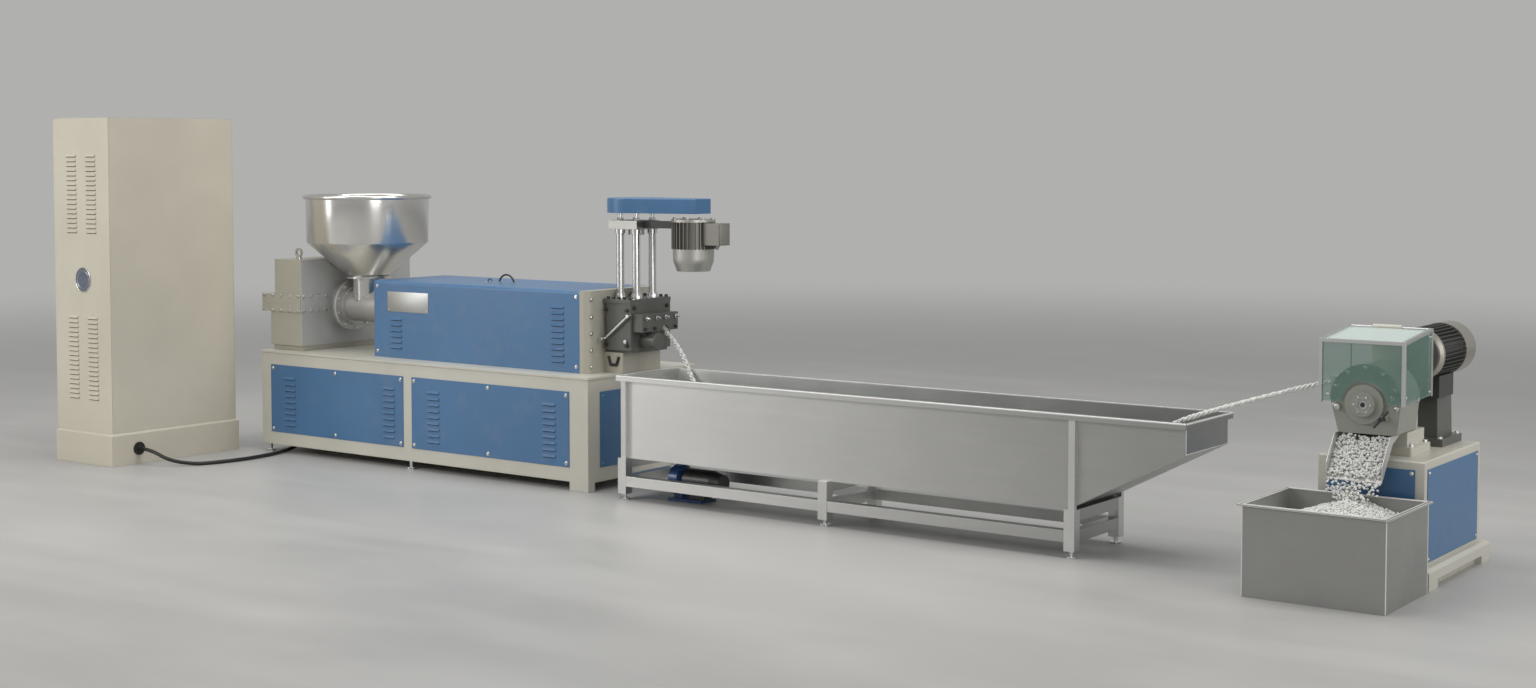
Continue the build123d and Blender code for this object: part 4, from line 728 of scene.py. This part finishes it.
for across, over in ring(10, 0.133, 0.5):
    at = (flange_face, axis_y + across, axis_height + over)
    socket_bolt(flange_bolts, at, rightward, 0.008)
neck_places = list(ring(8, 0.107, 0.5))
for number in (0, 1, 2, 6, 7):
    across, over = neck_places[number]
    at = (hopper_x + across, axis_y + over, neck_underside)
    hex_bolt(flange_bolts, at, downward, 0.007)
piece("flange_bolts", flange_bolts, chrome)


# Barrel cover: folded sheet in blue enamel over the heated barrel, screwed at its corners, with
# two arch handles on top, a bare riveted plate on its near side and screws in the end housing.
coat(blue, "barrel_cover")
smoothed("cover_handles", black_plastic)
cover_back, cover_top, housing_end = 0.621, 1.003, -0.6228
cover_screws = bmesh.new()
for x in (-2.172, -0.706):
    for z in (0.612, 0.972):
        screw(cover_screws, (x, cover_face, z), nearward, 0.007)
        screw(cover_screws, (x, cover_back, z), farward, 0.002)
for x, reach in ((-1.457, 0.055), (-1.582, 0.016)):
    for end in (-reach, reach):
        drum(cover_screws, (x + end, axis_y, cover_top), upward, 0.010, 0.002, 20)
plate_low, plate_high = (-2.090, 0.0596, 0.835), (-1.775, 0.0609, 0.945)
for x in (-2.080, -1.785):
    for z in (0.845, 0.935):
        drum(cover_screws, (x, 0.0597, z), nearward, 0.004, 0.0016, 14, 0.0026)
for y in (0.085, 0.597):
    for z in (0.615, 0.700, 0.785, 0.870, 0.960):
        screw(cover_screws, (housing_end, y, z), rightward, 0.007)
piece("cover_screws", cover_screws, chrome)
plate_finish = bright_metal("bare_plate", shade(188, 189, 188), 0.34, 0.12, (1.0, 1.0, 40.0), 20.0)
cover_plate = bmesh.new()
slab(cover_plate, plate_low, plate_high, 0.0004)
piece("cover_plate", cover_plate, plate_finish)


# Die head: heavy machined iron blocks in dark grey enamel, bolted together, with the die, the
# strand outlet and a tie rod on the near face, and a small black handle low on the foot.
iron = painted("dark_iron", shade(92, 93, 89), 0.42, 0.0003)
black_iron = painted("black_iron", shade(38, 38, 39), 0.4, 0.0003)
coat(iron, "die_head", "head_top_plate", "die_plate")
smoothed("die_hood", iron)
smoothed("die_nozzle", turned_steel)
smoothed("head_lever", chrome)
head_near, head_far, head_top = 0.176, 0.496, 0.960
die_face = -0.375
black_bolts = bmesh.new()
for number in range(5):
    x = -0.598 + number * 0.036
    for y in (0.190, 0.482):
        socket_bolt(black_bolts, (x, y, head_top), upward, 0.009)
for z in (0.725, 0.905):
    for x in (-0.600, -0.462):
        socket_bolt(black_bolts, (x, head_near, z), nearward, 0.009)
        socket_bolt(black_bolts, (x, head_far, z), farward, 0.009)
for y in (0.215, 0.290, 0.382, 0.457):
    socket_bolt(black_bolts, (die_face, y, 0.812), rightward, 0.008)
for y in (0.205, 0.467):
    hex_bolt(black_bolts, (-0.439, y, 0.918), rightward, 0.010)
piece("head_bolts", black_bolts, black_iron)
die_studs = bmesh.new()
for y in (0.218, 0.300, 0.372, 0.454):
    drum(die_studs, (die_face, y, 0.866), rightward, 0.006, 0.030, 16)
    drum(die_studs, (die_face, y, 0.866), rightward, 0.012, 0.011, 6)
drum(die_studs, (-0.468, head_near, 0.746), nearward, 0.011, 0.012, 6)
drum(die_studs, (-0.601, 0.137, 0.756), nearward, 0.014, 0.010, 28, 0.011)
piece("die_studs", die_studs, chrome)
grip_y, grip_radius = 0.184, 0.008
grip = bmesh.new()
for x, lean in ((-0.592, 0.012), (-0.524, -0.016)):
    drum(grip, (x, grip_y, 0.666), (lean, 0.0, -0.044), grip_radius, 0.046, 16)
drum(grip, (-0.584, grip_y, 0.622), rightward, grip_radius, 0.048, 16)
piece("foot_handle", grip, black_iron)


# Hoisting tower: four chrome columns and a lead screw carry a plate with the belt drive of the
# screen changer and its upright finned motor, which has a terminal box on its side.
plate_metal = bright_metal("plate_steel", shade(178, 178, 175), 0.3, 0.12, (1.0, 1.0, 30.0), 16.0)
aluminium = bright_metal("cast_aluminium", shade(168, 166, 160), 0.38, 0.1, fineness=220.0)
smoothed("tower_columns", chrome)
smoothed("lead_screw", turned_steel)
coat(plate_metal, "tower_plate")
coat(black_iron, "motor_bracket")
smoothed("belt_cover", blue)
motor_shell = bright_metal("motor_shell", shade(170, 169, 164), 0.34, 0.08, fineness=240.0)
height = motor_shell.along("Z")
between_fins = height.between(1.221, 1.225) * (1.0 - height.between(1.355, 1.359))
motor_shell.dress(
    {
        "Base Color": motor_shell.blend(between_fins, shade(184, 183, 178), shade(136, 134, 128)),
        "Metallic": 0.9 - between_fins * 0.3,
    }
)
smoothed("tower_motor", motor_shell)
tower_x, motor_x = -0.537, -0.161
tower_nuts = bmesh.new()
for dx in (-0.054, 0.054):
    for dy in (-0.064, 0.064):
        at = (tower_x + dx, axis_y + dy)
        drum(tower_nuts, (*at, 0.960), upward, 0.029, 0.020, 32, 0.027)
        drum(tower_nuts, (*at, 0.980), upward, 0.024, 0.006, 32)
        drum(tower_nuts, (*at, 1.293), upward, 0.026, 0.022, 32)
        drum(tower_nuts, (*at, 1.360), upward, 0.017, 0.014, 6)
        drum(tower_nuts, (*at, 1.388), upward, 0.014, 0.012, 20)
for angle in range(0, 360, 45):
    turn = math.radians(angle + 22)
    at = (motor_x + 0.103 * math.cos(turn), axis_y + 0.103 * math.sin(turn), 1.372)
    hex_bolt(tower_nuts, at, upward, 0.0075)
piece("tower_nuts", tower_nuts, chrome)
lid_face, gland_x = 0.0380, -0.010
box_fittings = bmesh.new()
slab(box_fittings, (0.0350, 0.300, 1.248), (lid_face, 0.382, 1.350), 0.0012)
for y in (0.306, 0.376):
    for z in (1.254, 1.344):
        screw(box_fittings, (lid_face, y, z), rightward, 0.0035)
drum(box_fittings, (gland_x, axis_y, 1.244), downward, 0.013, 0.010, 6)
drum(box_fittings, (gland_x, axis_y, 1.234), downward, 0.010, 0.012, 20, 0.007)
piece("terminal_lid", box_fittings, aluminium)
motor_underside, ring_step = 1.1101, 0.017
# Dark dots under the motor: painted shade in the holes of its grille.
grille = bmesh.new()
for circle in range(1, 5):
    for across, over in ring(circle * 7, ring_step * circle):
        at = (motor_x + across, axis_y + over, motor_underside)
        drum(grille, at, downward, 0.0045, 0.0001, 8)
piece("tower_motor_grille", grille, slot_shadow)


# Water trough: a long tank of brushed stainless sheet on a stand of square tube, with levelling
# feet, half full of still water. Thin beads along its rim and welds are painted bright as
# highlights, and the sheet is painted darker towards the raking end as painted shade.
def hem(shape, spots, radius):
    """A thin bead along a folded edge or a weld, which carries a painted highlight."""
    for start, end in zip(spots, spots[1:]):
        run = Vector(end) - Vector(start)
        drum(shape, start, run, radius, run.length, 10)


def closed(corners, height):
    """A line round some corners and back to the first, all at one height."""
    return [(*corner, height) for corner in corners + corners[:1]]


steel = shade(212, 212, 210)
brushed = bright_metal("brushed_stainless", steel, 0.3, 0.14, (1.0, 40.0, 40.0), 10.0)
streaks = (1.0, 12.0, 12.0)
# Painted shade: the sheet is painted darker towards the raking end, where less lamp light falls,
# with faint streaks.
shade_and_streaks = brushed.along("X").between(-0.6, 3.0) * 0.9 + brushed.cloud(3.0, 4.0, streaks) * 0.14
brushed.dress({"Base Color": brushed.blend(shade_and_streaks, shade(222, 222, 220), shade(166, 166, 164))})
brushed_up = bright_metal("brushed_upright", steel, 0.3, 0.14, (40.0, 40.0, 1.0), 10.0)
coat(brushed, "trough_sides", "trough_floor", "trough_rim", "trough_rails")
coat(brushed_up, "trough_legs")
smoothed("levelling_feet", chrome)
water = Finish("still_water", shade(118, 132, 134), 0.03)
ripple = water.cloud(7.0, 3.0)
water.dress(
    {
        "Alpha": 0.62,
        "IOR": 1.33,
        "Base Color": water.blend(ripple, shade(92, 104, 106), shade(122, 134, 136)),
    }
)
water.relief(ripple, 0.004)
water_height = 0.512
level = bmesh.new()
slab(level, (-0.2385, -0.0925, 0.2105), (2.7205, 0.3145, water_height))
bmesh.ops.subdivide_edges(level, edges=level.edges[:], cuts=1, use_grid_fill=True)
bmesh.ops.bisect_plane(
    level,
    geom=level.verts[:] + level.edges[:] + level.faces[:],
    plane_co=(2.193, 0.0, 0.214),
    plane_no=Vector((0.31, 0.0, -0.527)),
    clear_outer=True,
)
bmesh.ops.holes_fill(level, edges=level.edges[:])
piece("trough_water", level, water)

# Paler, brighter steel for the beads: a painted highlight along rims, corners and welds.
ground_edge = bright_metal("ground_edge", shade(238, 238, 236), 0.36, 0.05)
ground_edge.dress({"Metallic": 0.35})
left_end, right_end, foot_of_rake = -0.241, 2.7235, 2.196
under_rim, top_of_rake, under_floor = 0.586, 0.482, 0.208
weld_radius = 0.0024
rim_corners = ((-0.281, -0.122), (2.735, -0.122), (2.735, 0.344), (-0.281, 0.344))
seams = bmesh.new()
hem(seams, closed(rim_corners, 0.609), 0.0042)
for y in (-0.0962, 0.3182):
    side_weld = [
        (right_end, y, under_rim),
        (right_end, y, top_of_rake),
        (foot_of_rake, y, under_floor),
        (left_end, y, under_floor),
        (left_end, y, under_rim),
    ]
    hem(seams, side_weld, weld_radius)
hem(seams, [(right_end, -0.096, top_of_rake), (right_end, 0.318, top_of_rake)], weld_radius)
piece("trough_seams", seams, ground_edge)


# Circulating pump: a cast pump in gloss blue enamel on a small base, driven by a black motor,
# with six bolts round the cover of its left end.
pump_blue = painted("pump_blue", shade(30, 74, 128), 0.28)
smoothed("pump_body", pump_blue)
smoothed("pump_motor", black_iron)
pump_end, pump_y, pump_height = 0.0028, 0.071, 0.096
pump_bolts = bmesh.new()
for across, over in ring(6, 0.060):
    hex_bolt(pump_bolts, (pump_end, pump_y + across, pump_height + over), leftward, 0.006)
piece("pump_bolts", pump_bolts, chrome)


# Pelletizer body: a beige plinth and box with blue screwed panels, which carries the cutter on its
# pedestal and the motor on another, each bolted down at four corners.
coat(grey_beige, "pelletizer_plinth", "pelletizer_base", "casing_pedestal", "guard_bracket")
coat(blue, "pelletizer_panels")
coat(iron, "motor_pedestal", "drive_case")
panel_rows = (0.112, 0.451)
panel_screws = bmesh.new()
for face, outward in ((0.163, nearward), (0.879, farward)):
    for x in (3.228, 3.556):
        for z in panel_rows:
            screw(panel_screws, (x, face, z), outward, 0.006)
for face, outward in ((3.1755, leftward), (3.6085, rightward)):
    for y in (0.216, 0.826):
        for z in panel_rows:
            screw(panel_screws, (face, y, z), outward, 0.006)
for x in (3.236, 3.504):
    for y in (0.318, 0.484):
        hex_bolt(panel_screws, (x, y, 0.536), upward, 0.010)
for x in (3.306, 3.518):
    for y in (0.626, 0.846):
        hex_bolt(panel_screws, (x, y, 0.532), upward, 0.010)
piece("pelletizer_screws", panel_screws, chrome)


# Cutter: a cast casing in light grey enamel round a steel rotor, with a bolted front door, a
# bearing whose bright rings show round a dark disc on the shaft's end, painted shade for the hole
# there, and a clamp screw with a cross bar.
casting = painted("grey_casting", shade(152, 154, 145), 0.36, 0.0006)
smoothed("cutter_casing", casting)
smoothed("casing_door", casting)
smoothed("clamp_handle", black_iron, body="clamp")
smoothed("cutter_rotor", turned_steel, body="rotor")
cutter_x, casing_height, shaft_height = 3.370, 0.728, 0.712
door_face, hub_face = 0.156, 0.122
door_bolts = bmesh.new()
for angle in (-12, 22, 56, 90, 124, 158, 192):
    turn = math.radians(angle)
    at = (cutter_x + 0.128 * math.cos(turn), door_face, casing_height + 0.128 * math.sin(turn))
    hex_bolt(door_bolts, at, nearward, 0.0075)
for across, over in ring(6, 0.034):
    at = (cutter_x + across, hub_face, shaft_height + over)
    socket_bolt(door_bolts, at, nearward, 0.0042)
hex_bolt(door_bolts, (3.261, door_face - 0.016, 0.696), nearward, 0.010)
hex_bolt(door_bolts, (3.478, door_face, 0.742), nearward, 0.008)
hex_bolt(door_bolts, (3.511, 0.345, 0.722), rightward, 0.011)
piece("casing_bolts", door_bolts, chrome)
race_sides = 48
bearing = bmesh.new()
for radius, bore in ((0.0310, 0.0275), (0.0220, 0.0195)):
    for rim in (radius, bore):
        bmesh.ops.create_circle(bearing, segments=race_sides, radius=rim)
bmesh.ops.rotate(bearing, verts=bearing.verts, cent=origin, matrix=on_edge)
bmesh.ops.translate(bearing, verts=bearing.verts, vec=(cutter_x, 0.1212, shaft_height))
bmesh.ops.bridge_loops(bearing, edges=bearing.edges[:2 * race_sides])
bmesh.ops.bridge_loops(bearing, edges=[edge for edge in bearing.edges if edge.is_wire])
piece("bearing_rings", bearing, chrome)
# A dark disc on the shaft end: painted shade for the hole in the hub.
hole_shade = bmesh.new()
drum(hole_shade, (cutter_x, 0.1270, shaft_height), nearward, 0.0100, 0.0014, 32)
piece("shaft_hole_shade", hole_shade, black_iron, body="rotor")


# Guard: a hinged hood of green tinted safety glass in a light aluminium frame, held by small
# screws. Its top pane is painted paler and less clear than its sides: a painted reflection of
# the bright sky above it.
anodised = bright_metal("anodised_frame", shade(206, 208, 207), 0.34, 0.08, fineness=260.0)
coat(anodised, "guard_frame")
glass = Finish("tinted_glass", shade(132, 176, 164), 0.04)
facing = glass.node("ShaderNodeNewGeometry", result="Normal")
top_pane_painted_reflection = glass.node("ShaderNodeSeparateXYZ", {}, {0: facing}, result="Z").between(0.6, 0.9)
# Upward faces are painted paler and less clear: a painted reflection of the sky.
glass.dress(
    {
        "Base Color": glass.blend(top_pane_painted_reflection, shade(112, 154, 142), shade(214, 230, 225)),
        "Alpha": top_pane_painted_reflection * 0.4 + 0.34,
        "Roughness": glass.cloud(30.0, 3.0) * 0.05 + 0.02,
        "IOR": 1.5,
    }
)
coat(glass, "guard_glass")
guard_rows = (0.745, 0.965)
guard_screws = bmesh.new()
for y in (0.165, 0.446):
    for z in guard_rows:
        screw(guard_screws, (3.5293, y, z), rightward, 0.0048)
for z in guard_rows:
    screw(guard_screws, (3.222, 0.1402, z), nearward, 0.0044)
piece("guard_screws", guard_screws, chrome, body="guard")


# Cutter motor: lies on its pedestal, with dark cast fins between bright ends. The feed throat
# and the chute of the cutter are ground steel sheet.
motor_skin = bright_metal("motor_skin", shade(150, 148, 142), 0.42, 0.1, fineness=220.0)
position = motor_skin.along("Y")
ribbed = position.between(0.549, 0.553) * (1.0 - position.between(0.820, 0.824))
motor_skin.dress(
    {
        "Base Color": motor_skin.blend(ribbed, shade(172, 169, 160), shade(74, 75, 74)),
        "Metallic": 0.85 - ribbed * 0.45,
        "Roughness": ribbed * 0.12 + 0.34,
    }
)
smoothed("pelletizer_motor", motor_skin)
coat(ground_plate, "feed_throat", "discharge_chute")


# Collecting bin: a box of brushed sheet steel with a turned-out rim and seams whose thin beads are
# painted bright as highlights, and the white pellets that the cutter has thrown down the chute,
# falling onto their heap.
bin_steel = bright_metal("bin_steel", shade(160, 160, 158), 0.36, 0.14, (1.0, 1.0, 40.0), 10.0)
bin_steel.dress({"Metallic": 0.6})
coat(bin_steel, "pellet_bin")
bin_floor, bin_top = 0.002, 0.355
lip_corners = ((3.0687, -0.3793), (3.6553, -0.3793), (3.6553, 0.1153), (3.0687, 0.1153))
wall_corners = ((3.0815, -0.3665), (3.6425, -0.3665), (3.6425, 0.1025), (3.0815, 0.1025))
inner_corners = ((3.084, -0.364), (3.640, -0.364), (3.640, 0.100), (3.084, 0.100))
bin_seams = bmesh.new()
hem(bin_seams, closed(lip_corners, 0.3562), 0.0036)
for corner in wall_corners:
    hem(bin_seams, [(*corner, bin_floor), (*corner, bin_top)], 0.0020)
hem(bin_seams, closed(inner_corners, 0.3582), 0.0024)
piece("bin_seams", bin_seams, ground_edge)
chance = random.Random(7)
pellets = bmesh.new()
pellet_radius, pellet_length = 0.0044, 0.0082


def pellet(spot):
    """One short cut length of strand, lying any way round."""
    lean = Vector((chance.uniform(-1, 1), chance.uniform(-1, 1), chance.uniform(-0.6, 0.6)))
    drum(pellets, spot, lean.normalized(), pellet_radius, pellet_length, 7)


def heap_height(x, y):
    """Height of the heap in the bin: a low mound, drawn out towards the near wall."""
    away = math.hypot(x - 3.375, (y + 0.03) * 0.5)
    return 0.354 - 0.34 * away


heap = bmesh.new()
bmesh.ops.create_grid(heap, x_segments=48, y_segments=40, size=0.5)
for dot in heap.verts:
    x = 3.362 + dot.co.x * 0.5540
    y = -0.132 + dot.co.y * 0.4620
    dot.co = (x, y, heap_height(x, y) - 0.004)
piece("pellet_heap", heap, white_plastic, angle=180.0)
in_heap, on_chute, in_air = 3200, 1000, 240
for count in range(in_heap):
    x = chance.uniform(3.092, 3.632)
    y = chance.uniform(-0.356, 0.092)
    pellet((x, y, heap_height(x, y) + chance.uniform(-0.004, 0.004)))
chute_rise = math.tan(math.radians(50))
for count in range(on_chute):
    x = chance.uniform(3.268, 3.472)
    y = chance.uniform(0.040, 0.158)
    pellet((x, y, 0.425 + (y - 0.036) * chute_rise + chance.uniform(0.003, 0.018)))
for count in range(in_air):
    fall = chance.uniform(0.0, 1.0)
    x = cutter_x + chance.gauss(0.0, 0.030 + 0.030 * (1 - fall))
    x = min(max(x, 3.27), 3.47)
    y = 0.034 - 0.050 * fall + chance.gauss(0.0, 0.006)
    pellet((x, y, 0.428 - 0.088 * fall))
piece("pellets", pellets, white_plastic, angle=180.0)
